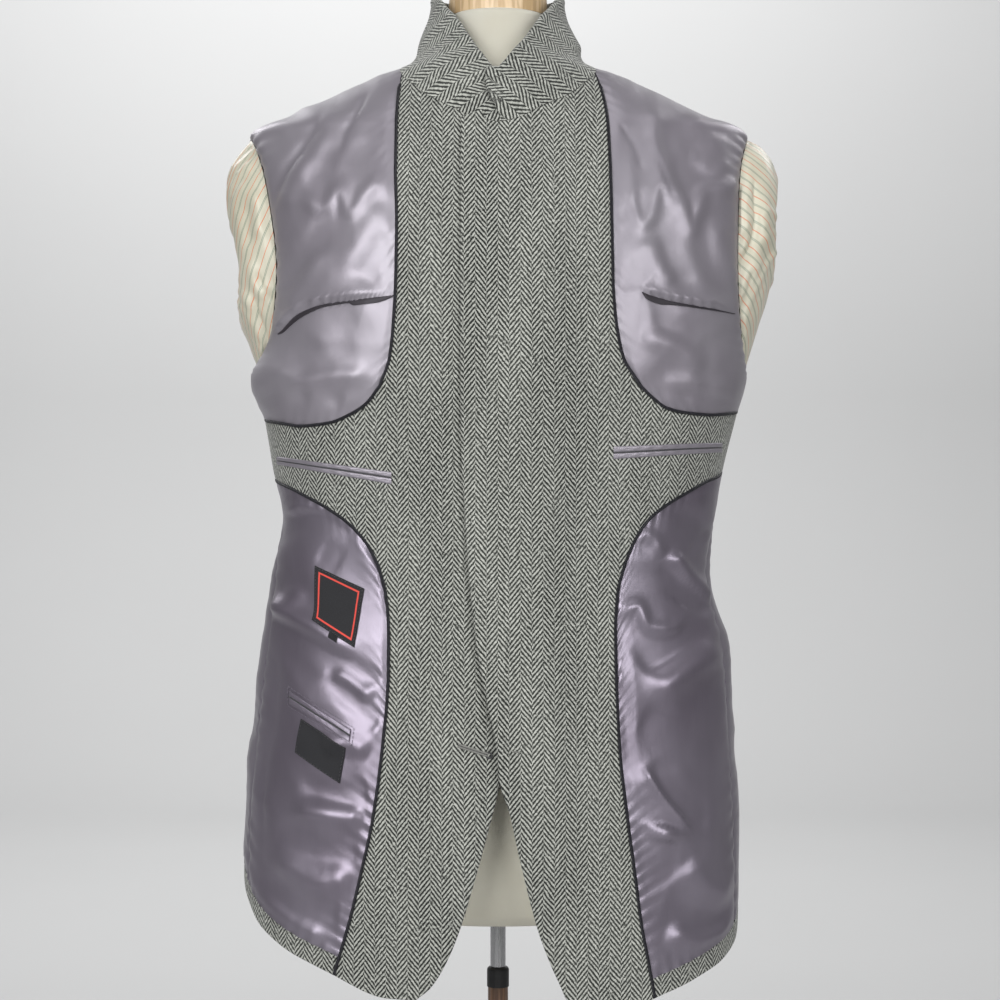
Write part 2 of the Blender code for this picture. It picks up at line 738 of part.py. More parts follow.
def sheet_of(side, patches, lifts):
    """Welded patches of the body surface, lifted, with a seam's gap round them.

    Each point carries its outward direction.
    """
    bm = bmesh.new()
    outward = bm.verts.layers.float_vector.new("outward")
    for patch in patches:
        def place(vert, column, row, patch=patch):
            reach, height = patch[row][column]
            point = surface_point(side, reach, height)
            vert[outward] = outward_at(side, reach, height)
            vert.co = point + vert[outward] * sum(lift(point) for lift in lifts)

        map_grid(bm, len(patch[0]) - 1, len(patch) - 1, place, flipped=side < 0)
    bmesh.ops.remove_doubles(bm, verts=bm.verts, dist=WELD)
    bmesh.ops.dissolve_degenerate(bm, edges=bm.edges, dist=WELD)
    bmesh.ops.triangulate(bm, faces=bm.faces, quad_method="FIXED")
    bm.normal_update()
    pulls = {vert: seam_pull(vert) for vert in bm.verts if vert.is_boundary}
    for vert, pull in pulls.items():
        vert.co += pull * SEAM / 2
    return bm


def walled(name, bm, out, thickness, finish):
    """Turns the sheet into a closed wall that starts this far out along each point's direction."""
    outward = bm.verts.layers.float_vector["outward"]
    rim = [edge for edge in bm.edges if edge.is_boundary]
    inner_faces = list(bm.faces)
    copy = bmesh.ops.duplicate(bm, geom=list(bm.verts) + list(bm.edges) + inner_faces)
    outer_of = copy["vert_map"]
    for edge in rim:
        loop = edge.link_loops[0]
        first, second = loop.vert, loop.link_loop_next.vert
        bm.faces.new((first, second, outer_of[second], outer_of[first]))
    for vert in {vert for face in inner_faces for vert in face.verts}:
        outer_of[vert].co = vert.co + vert[outward] * (out + thickness)
        vert.co += vert[outward] * out
    bmesh.ops.reverse_faces(bm, faces=inner_faces)
    return object_from(name, bm, finish)


def trim_piece(name, panel, corners, thickness, finish):
    """A small piece that lies on a panel: the panel's own points inside these corners, moved out."""
    bm = panel.copy()
    centre = sum((Vector((x, 0.0, z)) for x, z in corners), Vector()) / len(corners)
    for (x1, z1), (x2, z2) in zip(corners, corners[1:] + corners[:1]):
        start, run = Vector((x1, 0.0, z1)), Vector((x2 - x1, 0.0, z2 - z1))
        normal = run.cross(Vector((0.0, 1.0, 0.0)))
        if normal.dot(centre - start) > 0:
            normal.negate()
        geometry = list(bm.verts) + list(bm.edges) + list(bm.faces)
        bmesh.ops.bisect_plane(bm, geom=geometry, plane_co=start, plane_no=normal, clear_outer=True)
    behind = [vert for vert in bm.verts if vert.co.y > 0]
    bmesh.ops.delete(bm, geom=behind, context="VERTS")
    bmesh.ops.remove_doubles(bm, verts=bm.verts, dist=TRIM_WELD)
    bmesh.ops.triangulate(bm, faces=bm.faces, quad_method="FIXED")
    walled(name, bm, TRIM_OUT, thickness, finish)


def piping(name, side, run):
    """A piped seam: a round cord that lies over the seam's stations."""
    curve = bpy.data.curves.new(name, "CURVE")
    curve.dimensions = "3D"
    curve.bevel_depth = PIPING_RADIUS
    curve.bevel_resolution = 1
    curve.use_fill_caps = True
    spline = curve.splines.new("POLY")
    spline.points.add(len(run) - 1)
    for point, (reach, row) in zip(spline.points, run):
        point.co = (*body_point(side, reach, row, PIPING_OUT), 1.0)
    add_object(name, curve, "piping")


def turned(name, profile, finish, steps=TURN_STEPS):
    """A solid of revolution about the stand's axis, from a profile of (radius, height)."""
    bm = bmesh.new()
    verts = [bm.verts.new((radius, 0.0, height)) for radius, height in profile]
    for first, second in zip(verts, verts[1:]):
        bm.edges.new((first, second))
    obj = object_from(name, bm, finish)
    screw = obj.modifiers.new("Turn", "SCREW")
    screw.axis = "Z"
    screw.steps = screw.render_steps = steps
    screw.use_merge_vertices = True
    screw.merge_threshold = WELD


def rounded_cap(radius, top, bottom, edge, arc_steps=4):
    """A flat-ended profile whose upper edge is rounded, top to bottom."""
    arc = [
        (radius - edge + edge * sin(pi / 2 * i / arc_steps), top - edge + edge * cos(pi / 2 * i / arc_steps))
        for i in range(arc_steps + 1)
    ]
    return [(0.0, top), *arc, (radius, bottom), (0.0, bottom)]


# ------------------------------------------------------------------ the pieces

def make_body(side):
    """The shell, facing and linings of one side. Returns its sheets by name, for the trim."""
    where = SIDE_NAME[side]

    def lap(point):
        return lap_lift(side, point)

    facing = facing_patches(side)
    chest, skirt, back = chest_patches(side), skirt_patches(side), back_patches(side)
    front_hem, back_hem = front_hem_patches(side), back_hem_patches(side)
    whole_front = sheet_of(side, facing + chest + skirt + front_hem, [lap])
    walled(f"front_{where}", whole_front, 0.0, SHELL_THICK, "tweed")
    walled(f"back_{where}", sheet_of(side, back + back_hem, []), 0.0, SHELL_THICK, "tweed")
    inner_pieces = (
        ("facing", facing, "tweed"),
        ("hem_front", front_hem, "tweed"),
        ("hem_back", back_hem, "tweed"),
        ("chest_lining", chest, "satin"),
        ("skirt_lining", skirt, "satin"),
        ("back_lining", back, "satin"),
    )
    sheets = {}
    for piece, patches, finish in inner_pieces:
        name = f"{piece}_{where}"

        def folds(point, name=name):
            return fold_lift(name, point)

        sheet = sheet_of(side, patches, [lap, folds] if piece == "facing" else [folds])
        sheets[name] = sheet.copy()
        walled(name, sheet, LINING_OUT, LINING_THICK, finish)
    upper = band_run(side, top=True)[:0:-1] + upper_piping_run(side)[:-PIPING_STOPS]
    lower = [edge_station(LOWER, side, HEM)] + lower_piping_run(side) + band_run(side, top=False)[1:]
    piping(f"piping_upper_{where}", side, upper)
    piping(f"piping_lower_{where}", side, lower)
    return sheets


def sleeve_point(side, ring, column):
    """A point of a sleeve's ring, on the face of the lining that shows."""
    half_depth, half_height, centre, out, tilt = ring
    turn = 2 * pi * column / SLEEVE_RING_POINTS
    y = -SLEEVE_FORWARD - half_depth * sin(turn)
    height = centre + half_height * cos(turn)
    distance = side_distance(side, y, height, y > 0) + out - tilt * cos(turn)
    return Vector((side * distance, y, height))


def tube_of(name, columns, rows, point_at, finish, flipped):
    """A surface whose rows are closed rings, welded where its columns meet."""
    bm = bmesh.new()

    def place(vert, column, row):
        vert.co = point_at(column, row)

    map_grid(bm, columns, rows, place, flipped)
    bmesh.ops.remove_doubles(bm, verts=bm.verts, dist=WELD)
    bmesh.ops.triangulate(bm, faces=bm.faces, quad_method="FIXED")
    return object_from(name, bm, finish)


def thicken(obj, thickness, outwards):
    solidify = obj.modifiers.new("Cloth", "SOLIDIFY")
    solidify.thickness = thickness
    solidify.offset = 1.0 if outwards else -1.0


def sleeve_tube(name, side, rings, finish):
    """A sleeve's rings joined, with the faces that show turned outwards."""
    return tube_of(
        name, SLEEVE_RING_POINTS, len(rings) - 1,
        lambda column, row: sleeve_point(side, rings[row], column),
        finish, flipped=side < 0,
    )


def make_sleeves(side):
    where = SIDE_NAME[side]
    lining = sleeve_tube(f"sleeve_lining_{where}", side, PUFF[side] + SLEEVE_RINGS, "sleeve_satin")
    thicken(lining, SLEEVE_LINING_THICK, outwards=False)
    sleeve = sleeve_tube(f"sleeve_{where}", side, SLEEVE_RINGS[SLEEVE_CLOTH_FROM:], "tweed")
    behind = sleeve.modifiers.new("Behind the lining", "DISPLACE")
    behind.mid_level = 0.0
    behind.strength = -(SLEEVE_LINING_THICK + SLEEVE_CLOTH_CLEAR)
    thicken(sleeve, SLEEVE_CLOTH_THICK, outwards=False)


def make_collar():
    """One band from the left end round the back to the right end, which laps over the left."""
    def point_at(column, row):
        share, up = column / COLLAR_SEGMENTS, row / COLLAR_ROWS
        crowded = share - COLLAR_CROWDING * sin(2 * pi * share) / (2 * pi)
        last = -360.0 - COLLAR_REACH(up)
        angle = COLLAR_START + (last - COLLAR_START) * crowded
        from_front = abs((angle + 180.0) % 360.0 - 180.0)
        low, high = COLLAR_EDGE["low"](from_front), COLLAR_EDGE["high"](from_front)
        out = STAND["left" if angle > -180 else "right"](from_front)
        return body_point(1, angle, low + (high - low) * up, out)

    band = tube_of("collar", COLLAR_SEGMENTS, COLLAR_ROWS, point_at, "tweed", flipped=True)
    thicken(band, COLLAR_THICK, outwards=True)


def make_trim(sheets):
    for name, (panel, corners) in WELTS.items():
        trim_piece(name, sheets[panel], corners, WELT_THICK, "satin")
    for name, corners in LABELS.items():
        trim_piece(name, sheets["skirt_lining_left"], corners, LABEL_THICK, "label")


def make_buttons():
    for number, height in enumerate(BUTTON_HEIGHTS, 1):
        reach, row = station_at(1, BUTTON_X, height)
        centre = body_point(1, reach, row, BUTTON_OUT)
        normal = (body_point(1, reach, row, 0.02) - centre).normalized()
        bm = bmesh.new()
        bmesh.ops.create_cone(
            bm, cap_ends=True, segments=20, radius1=BUTTON_RADIUS, radius2=BUTTON_RADIUS,
            depth=BUTTON_THICK,
        )
        obj = object_from(f"button_{number}", bm, "horn")
        obj.location = centre
        obj.rotation_euler = normal.to_track_quat("Z", "Y").to_euler()
        rounding = obj.modifiers.new("Rounding", "BEVEL")
        rounding.width = 0.0006
        rounding.segments = 1


def form_point(height, turn):
    ease = FORM_EASE if height in FORM_TOUCH else 0.0
    width = half_width(1, height) - ease if ease else FORM_SIZE["half_width"](height)
    depth = FORM_SIZE["front" if cos(turn) > 0 else "back"](height)
    return Vector((width * sin(turn), -depth * cos(turn), height))


def make_form():
    """The torso and neck, one closed smooth solid."""
    heights = [row[0] for row in FORM]

    def place(vert, column, row):
        vert.co = form_point(heights[row], 2 * pi * column / FORM_SEGMENTS)

    bm = bmesh.new()
    map_grid(bm, FORM_SEGMENTS, len(heights) - 1, place)
    bmesh.ops.remove_doubles(bm, verts=bm.verts, dist=WELD)
    bmesh.ops.holes_fill(bm, edges=[edge for edge in bm.edges if edge.is_boundary])
    object_from("form_torso", bm, "form_cloth")


def make_stand():
    turned("neck_cap", rounded_cap(CAP_RADIUS, CAP_BOTTOM + CAP_HEIGHT, CAP_BOTTOM, 0.012, 5), "wood")
    ring_top = POST_TOP + CLEAR + RING_HEIGHT
    form_bottom = FORM[0][0]
    turned(
        "stand_pole",
        [(0, form_bottom - CLEAR), (POLE_RADIUS, form_bottom - CLEAR),
         (POLE_RADIUS, ring_top + CLEAR), (0, ring_top + CLEAR)],
        "steel", 16,
    )
    turned("stand_ring", rounded_cap(RING_RADIUS, ring_top, POST_TOP + CLEAR, 0.003, 3), "black_metal")
    turned(
        "stand_post",
        [(0, POST_TOP), (POST_RADIUS, POST_TOP),
         (POST_RADIUS, BASE_HEIGHT + CLEAR), (0, BASE_HEIGHT + CLEAR)],
        "dark_wood", 16,
    )
    turned("stand_base", rounded_cap(BASE_RADIUS, BASE_HEIGHT, 0.0, BASE_EDGE, 3), "black_metal", 32)


clear_scene()
COLLECTION = new_collection()
body_sheets = {**make_body(-1), **make_body(1)}
make_sleeves(-1)
make_sleeves(1)
make_collar()
make_trim(body_sheets)
make_buttons()
make_form()
make_stand()
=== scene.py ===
"""The looks of a tweed sport coat worn inside out on a dress form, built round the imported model.

Metres, +Z up, the coat's front faces -Y. Left and right are those of a viewer in front of the coat:
left is -X. A place on the coat is a pair (reach, row): the angle in degrees round the body from the
front centre, and a height that follows the hem near the hem. The tables repeat the part's own.
"""

from math import pi, radians, tan

import bpy
import numpy as np
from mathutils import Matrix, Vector


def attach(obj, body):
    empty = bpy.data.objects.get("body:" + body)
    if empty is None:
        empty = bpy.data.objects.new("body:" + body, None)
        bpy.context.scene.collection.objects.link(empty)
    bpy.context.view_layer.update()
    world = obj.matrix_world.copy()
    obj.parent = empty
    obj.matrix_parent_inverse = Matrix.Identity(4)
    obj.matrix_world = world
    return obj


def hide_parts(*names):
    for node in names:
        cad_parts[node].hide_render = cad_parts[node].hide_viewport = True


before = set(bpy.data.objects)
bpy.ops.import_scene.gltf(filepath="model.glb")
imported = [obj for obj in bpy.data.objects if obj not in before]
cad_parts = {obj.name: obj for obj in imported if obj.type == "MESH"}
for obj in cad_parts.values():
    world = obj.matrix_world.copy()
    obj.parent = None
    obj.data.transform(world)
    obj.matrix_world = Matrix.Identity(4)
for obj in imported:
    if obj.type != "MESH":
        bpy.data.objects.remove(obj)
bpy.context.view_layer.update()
BODY = "root"

# ------------------------------------------------------------------ sizes, as in the part

SHELL_THICK = 0.0015
LINING_OUT = 0.0020
LINING_THICK = 0.0012
SURFACE = LINING_OUT + LINING_THICK
# Heights of the rows that several pieces share.
HEM = 0.650
LINING_HEM = 0.668
HEM_RISE_ENDS = 1.000
LOWER_BEND = 1.018
UPPER_BEND = 1.1725
NECK_POINT = 1.464
SIDE = 90.0
SKIRT_SEAM = 78.0
SEAM_BEND = 0.12

# The body surface: half widths to either side, depths to front and back, and squareness.
SECTION_COLUMNS = ("height", "left", "right", "front", "back", "power")
SECTIONS = (
    (0.635, 0.2265, 0.2140, 0.141, 0.120, 2.3),
    (0.770, 0.2265, 0.2140, 0.140, 0.122, 2.3),
    (0.865, 0.2195, 0.2097, 0.134, 0.120, 2.3),
    (0.942, 0.2105, 0.2047, 0.126, 0.110, 2.35),
    (1.015, 0.1995, 0.1870, 0.118, 0.097, 2.4),
    (1.060, 0.1915, 0.1915, 0.116, 0.092, 2.4),
    (1.103, 0.2005, 0.2005, 0.119, 0.096, 2.4),
    (1.150, 0.2085, 0.2125, 0.125, 0.104, 2.4),
    (1.177, 0.2140, 0.2185, 0.129, 0.110, 2.4),
    (1.230, 0.2050, 0.2210, 0.133, 0.119, 2.4),
    (1.274, 0.2060, 0.2235, 0.133, 0.124, 2.35),
    (1.336, 0.2150, 0.2270, 0.124, 0.126, 2.25),
    (1.385, 0.2210, 0.2260, 0.108, 0.118, 2.1),
    (1.402, 0.2220, 0.2240, 0.101, 0.112, 2.0),
    (1.418, 0.1870, 0.1870, 0.094, 0.104, 2.0),
    (1.434, 0.1525, 0.1525, 0.087, 0.095, 2.0),
    (1.450, 0.1180, 0.1180, 0.079, 0.085, 2.0),
    (1.464, 0.0800, 0.0800, 0.071, 0.075, 2.0),
    (1.475, 0.0690, 0.0690, 0.066, 0.069, 2.0),
    (1.490, 0.0635, 0.0635, 0.061, 0.064, 2.0),
    (1.511, 0.0555, 0.0555, 0.056, 0.060, 2.0),
    (1.530, 0.0525, 0.0525, 0.053, 0.058, 2.0),
    (1.546, 0.0515, 0.0515, 0.052, 0.057, 2.0),
)

# How far the hem climbs above its lowest row, by reach.
HEM_RISE_COLUMNS = ("reach", "left", "right")
HEM_RISE = (
    (0.0, 0.0000, -0.0150),
    (35.0, 0.0020, -0.0120),
    (52.0, 0.0220, 0.0025),
    (63.0, 0.0365, 0.0140),
    (72.0, 0.0530, 0.0240),
    (79.0, 0.0720, 0.0350),
    (90.0, 0.1000, 0.0620),
    (110.0, 0.1030, 0.0850),
    (180.0, 0.0950, 0.0950),
)

# Distance of each front's edge from the centre line, towards its own side.
EDGE_COLUMNS = ("height", "left", "right")
FRONT_EDGE = (
    (0.620, 0.0950, 0.0860),
    (0.636, 0.0830, 0.0700),
    (0.650, 0.0710, 0.0588),
    (0.662, 0.0569, 0.0535),
    (0.684, 0.0433, 0.0437),
    (0.711, 0.0322, 0.0338),
    (0.747, 0.0212, 0.0241),
    (0.787, 0.0101, 0.0148),
    (0.813, 0.0033, 0.0090),
    (0.8345, -0.0018, 0.0018),
    (0.865, -0.0100, -0.0015),
    (0.900, -0.0200, -0.0085),
    (0.950, -0.0270, -0.0180),
    (1.030, -0.0300, -0.0258),
    (1.150, -0.0300, -0.0315),
    (1.402, -0.0300, -0.0315),
)

# The piped seams between tweed facing and satin lining, above and below the side bands.
UPPER_PIPING = (
    (1.1725, 0.1000, 0.1215),
    (1.1973, 0.0914, 0.1060),
    (1.2300, 0.0879, 0.0996),
    (1.2620, 0.0862, 0.0972),
    (1.3124, 0.0856, 0.0965),
    (1.3635, 0.0872, 0.0957),
    (1.4000, 0.0872, 0.0945),
    (1.4377, 0.0853, 0.0885),
    (1.4500, 0.0835, 0.0850),
    (1.4640, 0.0800, 0.0800),
)
LOWER_PIPING = (
    (0.635, 0.1480, 0.1340),
    (0.653, 0.1435, 0.1318),
    (0.675, 0.1370, 0.1280),
    (0.715, 0.1255, 0.1208),
    (0.760, 0.1147, 0.1149),
    (0.800, 0.1061, 0.1097),
    (0.860, 0.0979, 0.1030),
    (0.930, 0.0926, 0.1001),
    (0.965, 0.0928, 0.0998),
    (0.995, 0.0955, 0.1018),
    (1.018, 0.1016, 0.1077),
)

# The tweed band that runs from each facing to the side: distances out and heights of its edges.
# Columns: top_out, top_height, low_out, low_height.
BAND = {
    -1: (
        (0.1000, 1.1725, 0.1016, 1.0180),
        (0.1120, 1.1580, 0.1113, 1.0360),
        (0.1260, 1.1490, 0.1260, 1.0530),
        (0.1450, 1.1420, 0.1460, 1.0680),
        (0.1680, 1.1400, 0.1665, 1.0795),
        (0.1900, 1.1435, 0.1850, 1.0885),
    ),
    1: (
        (0.1215, 1.1725, 0.1077, 1.0180),
        (0.1320, 1.1630, 0.1158, 1.0380),
        (0.1450, 1.1545, 0.1270, 1.0560),
        (0.1630, 1.1510, 0.1430, 1.0700),
        (0.1820, 1.1500, 0.1630, 1.0820),
        (0.2000, 1.1520, 0.1830, 1.0930),
    ),
}
BAND_SIDE = {-1: (1.1495, 1.0968), 1: (1.1568, 1.1032)}

# The neckline of each front, from the lapel's corner to the neck point of the shoulder.
# Columns: out, height, piping_height.
NECKLINE = (
    (-0.0050, 1.4120, 1.4120),
    (0.0260, 1.4225, 1.4240),
    (0.0500, 1.4335, 1.4360),
    (0.0660, 1.4430, 1.4470),
    (0.0760, 1.4515, 1.4550),
    (0.0795, 1.4570, 1.4605),
)
NECK_TOP = 1.402
BACK_YOKE = 1.388

# The armhole is an oval, seen from the side.
ARMHOLE_TOP = 1.402
ARMHOLE_BOTTOM = 1.188
ARMHOLE_FRONT = 0.058
ARMHOLE_BACK = 0.056

# The right front laps over the left: how far it is lifted there, by height.
LAP_COLUMNS = ("height", "lift")
LAP = (
    (0.70, 0.0), (0.80, 0.0060), (0.86, 0.0074), (1.03, 0.0074), (1.15, 0.0046), (1.46, 0.0042),
)
LAP_FULL = 0.034
LAP_ENDS = 0.075

# The sleeve, ring by ring, from the armhole seam over the puff and down inside the body.
# half_depth is front to back, half_height up and down, out is beyond the body surface,
# tilt tips the ring's top inwards, and below the puff the ring lies level.
# Columns: half_depth, half_height, centre, out, tilt.
PUFF = {
    -1: (
        (0.0567, 0.1062, 1.2952, 0.0024, 0.0000),
        (0.0565, 0.0970, 1.2960, 0.0100, 0.0000),
        (0.0520, 0.0820, 1.2980, 0.0200, 0.0000),
        (0.0430, 0.0640, 1.2950, 0.0280, 0.0000),
        (0.0330, 0.0480, 1.2880, 0.0300, 0.0000),
        (0.0255, 0.0380, 1.2790, 0.0250, 0.0000),
        (0.0240, 0.0340, 1.2680, 0.0100, 0.0010),
    ),
    1: (
        (0.0567, 0.1062, 1.2952, 0.0022, 0.0000),
        (0.0565, 0.0960, 1.3020, 0.0080, 0.0000),
        (0.0520, 0.0780, 1.3130, 0.0160, 0.0000),
        (0.0430, 0.0590, 1.3200, 0.0230, 0.0000),
        (0.0330, 0.0440, 1.3190, 0.0270, 0.0000),
        (0.0255, 0.0350, 1.3090, 0.0220, 0.0000),
        (0.0240, 0.0320, 1.2880, 0.0080, 0.0010),
    ),
}
SLEEVE_RINGS = (
    (0.0290, 0.0330, 1.2550, -0.0090, 0.0040),
    (0.0380, 0.0260, 1.2250, -0.0165, 0.0070),
    (0.0460, 0.0150, 1.1850, -0.0190, 0.0090),
    (0.0500, 0.0030, 1.1300, -0.0185, 0.0090),
    (0.0500, 0.0000, 1.0700, -0.0180, 0.0085),
    (0.0500, 0.0000, 1.0100, -0.0185, 0.0085),
    (0.0540, 0.0000, 0.9300, -0.0200, 0.0090),
    (0.0580, 0.0000, 0.8400, -0.0200, 0.0090),
)
SLEEVE_FORWARD = (ARMHOLE_FRONT - ARMHOLE_BACK) / 2
SLEEVE_LINING_THICK = 0.0012
SLEEVE_CLOTH_FROM = 2
SLEEVE_CLOTH_CLEAR = 0.0009
SLEEVE_CLOTH_THICK = 0.0015

# The collar, turned up and closed: its lower and upper edges by angle from the front centre.
COLLAR_COLUMNS = ("angle", "low", "high")
COLLAR = (
    (0.0, 1.4080, 1.4580),
    (10.0, 1.4120, 1.4730),
    (20.0, 1.4200, 1.4870),
    (35.0, 1.4310, 1.5020),
    (47.0, 1.4430, 1.5120),
    (60.0, 1.4520, 1.5220),
    (90.0, 1.4590, 1.5310),
    (180.0, 1.4590, 1.5370),
)
COLLAR_THICK = 0.0030
COLLAR_CROWDING = 0.35
COLLAR_START = 2.0
# How far out each end stands, by angle past the front centre, so that the right end laps the left.
COLLAR_STAND_COLUMNS = ("angle", "left", "right")
COLLAR_STAND = (
    (0.0, 0.0088, 0.0126),
    (12.0, 0.0088, 0.0122),
    (25.0, 0.0086, 0.0098),
    (50.0, 0.0046, 0.0050),
    (70.0, 0.0042, 0.0042),
    (180.0, 0.0042, 0.0042),
)
# The right end's outline: how far past the centre it reaches, by share of the collar's height.
COLLAR_END = ((0.0, -2.0), (0.25, 1.5), (0.5, 6.0), (0.75, 7.0), (1.0, 0.5))

# Trim on the facings and linings, as corners (x, height): the corners run round the piece.
WELTS = {
    "breast_welt_upper_left": (
        "facing_left",
        ((-0.1930, 1.1140), (-0.0905, 1.0992), (-0.0905, 1.0948), (-0.1930, 1.1108)),
    ),
    "breast_welt_lower_left": (
        "facing_left",
        ((-0.1930, 1.1102), (-0.0905, 1.0940), (-0.0905, 1.0888), (-0.1930, 1.1070)),
    ),
    "breast_welt_upper_right": (
        "facing_right",
        ((0.0985, 1.1212), (0.1960, 1.1262), (0.1960, 1.1226), (0.0985, 1.1162)),
    ),
    "breast_welt_lower_right": (
        "facing_right",
        ((0.0985, 1.1154), (0.1960, 1.1218), (0.1960, 1.1180), (0.0985, 1.1104)),
    ),
    "pocket_welt_upper_left": (
        "skirt_lining_left",
        ((-0.1765, 0.9085), (-0.1240, 0.8785), (-0.1242, 0.8740), (-0.1767, 0.9040)),
    ),
    "pocket_welt_lower_left": (
        "skirt_lining_left",
        ((-0.1767, 0.9032), (-0.1242, 0.8732), (-0.1244, 0.8682), (-0.1769, 0.8980)),
    ),
}
LABELS = {
    "label_main": ((-0.1590, 1.0175), (-0.1160, 0.9985), (-0.1237, 0.9480), (-0.1590, 0.9704)),
    "label_size": ((-0.1440, 0.9592), (-0.1375, 0.9552), (-0.1385, 0.9480), (-0.1450, 0.9522)),
    "label_care": ((-0.1704, 0.8840), (-0.1310, 0.8612), (-0.1370, 0.8310), (-0.1757, 0.8548)),
}

# The dress form.
# Columns: height, half_width, front, back.
FORM = (
    (0.700, 0.1080, 0.066, 0.062),
    (0.712, 0.1340, 0.082, 0.078),
    (0.750, 0.1540, 0.098, 0.094),
    (0.865, 0.1640, 0.110, 0.105),
    (0.942, 0.1580, 0.106, 0.094),
    (1.015, 0.1500, 0.100, 0.082),
    (1.070, 0.1490, 0.098, 0.077),
    (1.130, 0.1540, 0.103, 0.083),
    (1.190, 0.1600, 0.112, 0.094),
    (1.260, 0.1650, 0.117, 0.106),
    (1.336, 0.1680, 0.108, 0.110),
    (1.390, 0.1720, 0.092, 0.100),
    (1.408, 0.1750, 0.084, 0.092),
    (1.4227, 0.1752, 0.078, 0.085),
    (1.433, 0.1530, 0.072, 0.078),
    (1.4433, 0.1308, 0.067, 0.071),
    (1.455, 0.0900, 0.060, 0.062),
    (1.466, 0.0590, 0.052, 0.054),
    (1.480, 0.0470, 0.048, 0.050),
    (1.5125, 0.0435, 0.046, 0.048),
)
FORM_EASE = 0.0034
FORM_TOUCH = (1.4433, 1.433, 1.4227)

# ------------------------------------------------------------------ curves through the tables

def smooth_curve(places, values):
    """A curve through the values that doesn't overshoot them. It takes arrays."""
    places, values = np.array(places, float), np.array(values, float)
    steps = np.diff(places)
    rates = np.diff(values) / steps
    slopes = np.zeros(len(places))
    slopes[0], slopes[-1] = rates[0], rates[-1]
    turning = rates[:-1] * rates[1:] <= 0
    total = np.where(turning, 1.0, rates[:-1] + rates[1:])
    slopes[1:-1] = np.where(turning, 0.0, 2 * rates[:-1] * rates[1:] / total)

    def value(place):
        place = np.clip(place, places[0], places[-1])
        i = np.clip(np.searchsorted(places, place, side="right") - 1, 0, len(steps) - 1)
        t = (place - places[i]) / steps[i]
        start = values[i] * (1 + 2 * t) * (1 - t) ** 2 + slopes[i] * steps[i] * t * (1 - t) ** 2
        end = values[i + 1] * t * t * (3 - 2 * t) + slopes[i + 1] * steps[i] * t * t * (t - 1)
        return start + end

    return value


def curves_of(table, columns):
    """One curve for each column after the first, by the column's name."""
    places = [row[0] for row in table]
    return {
        name: smooth_curve(places, [row[i] for row in table])
        for i, name in enumerate(columns)
        if i
    }


def through(points, count):
    """Points at even steps along a smooth curve through these, with count steps in all."""
    points = np.array(points, float)
    places = np.arange(len(points))
    at = np.linspace(0, len(points) - 1, count + 1)
    return np.stack([smooth_curve(places, points[:, k])(at) for k in range(points.shape[1])], -1)


SECTION = curves_of(SECTIONS, SECTION_COLUMNS)
RISE = curves_of(HEM_RISE, HEM_RISE_COLUMNS)
EDGE = curves_of(FRONT_EDGE, EDGE_COLUMNS)
UPPER = curves_of(UPPER_PIPING, EDGE_COLUMNS)
LOWER = curves_of(LOWER_PIPING, EDGE_COLUMNS)
LAP_LIFT = curves_of(LAP, LAP_COLUMNS)["lift"]
COLLAR_EDGE = curves_of(COLLAR, COLLAR_COLUMNS)
STAND = curves_of(COLLAR_STAND, COLLAR_STAND_COLUMNS)
COLLAR_REACH = curves_of(COLLAR_END, ("share", "past"))["past"]
SIDE_NAME = {-1: "left", 1: "right"}


def smooth_step(value):
    value = np.clip(value, 0.0, 1.0)
    return value * value * (3 - 2 * value)


# ------------------------------------------------------------------ the body surface

def hem_rise(side, reach, row):
    """How far a place on this row stands above the row's own height."""
    fade = smooth_step((HEM_RISE_ENDS - row) / (HEM_RISE_ENDS - HEM))
    return RISE[SIDE_NAME[side]](np.abs(reach)) * fade


def section_point(side, reach, height):
    """The body surface's point at this reach towards this side, at this height."""
    turned = (reach + 180.0) % 360.0 - 180.0
    towards = np.where(turned < 0, -side, side)
    turned = np.radians(np.abs(turned))
    across, ahead = np.sin(turned), np.cos(turned)
    width = np.where(towards < 0, SECTION["left"](height), SECTION["right"](height))
    depth = np.where(ahead > 0, SECTION["front"](height), SECTION["back"](height))
    power = SECTION["power"](height)
    radius = ((np.abs(across) / width) ** power + (np.abs(ahead) / depth) ** power) ** (-1 / power)
    return np.stack([towards * radius * across, -radius * ahead, height + 0 * radius], -1)


def surface_point(side, reach, row):
    turned = (reach + 180.0) % 360.0 - 180.0
    return section_point(side, reach, row + hem_rise(side, turned, row))


def outward_at(side, reach, row):
    """The body surface's outward direction at this place."""
    around = surface_point(side, reach + 0.1, row) - surface_point(side, reach - 0.1, row)
    along = surface_point(side, reach, row + 0.001) - surface_point(side, reach, row - 0.001)
    normal = np.cross(around, along) * side
    return normal / np.linalg.norm(normal, axis=-1, keepdims=True)


def reach_at(side, x_out, height):
    """The reach of the front's point at this distance from the centre line, towards this side."""
    power = SECTION["power"](height)
    share = np.minimum(np.abs(x_out) / SECTION[SIDE_NAME[side]](height), 1.0)
    ahead = SECTION["front"](height) * (1 - share**power) ** (1 / power)
    return np.degrees(np.arctan2(x_out, ahead))


# A place follows the hem by its row, which is found in this many rounds.
ROW_ROUNDS = 12


def row_at(side, reach, height):
    """The row that passes through this height at this reach."""
    row = height
    for _ in range(ROW_ROUNDS):
        row = height - hem_rise(side, reach, row)
    return row


def edge_station(curve, side, row):
    """Where an edge, given as a curve of distance by height, crosses these rows."""
    row = np.asarray(row, float)
    height = row
    for _ in range(ROW_ROUNDS):
        reach = reach_at(side, curve[SIDE_NAME[side]](height), height)
        height = row + hem_rise(side, reach, row)
    return np.stack([reach, row], -1)


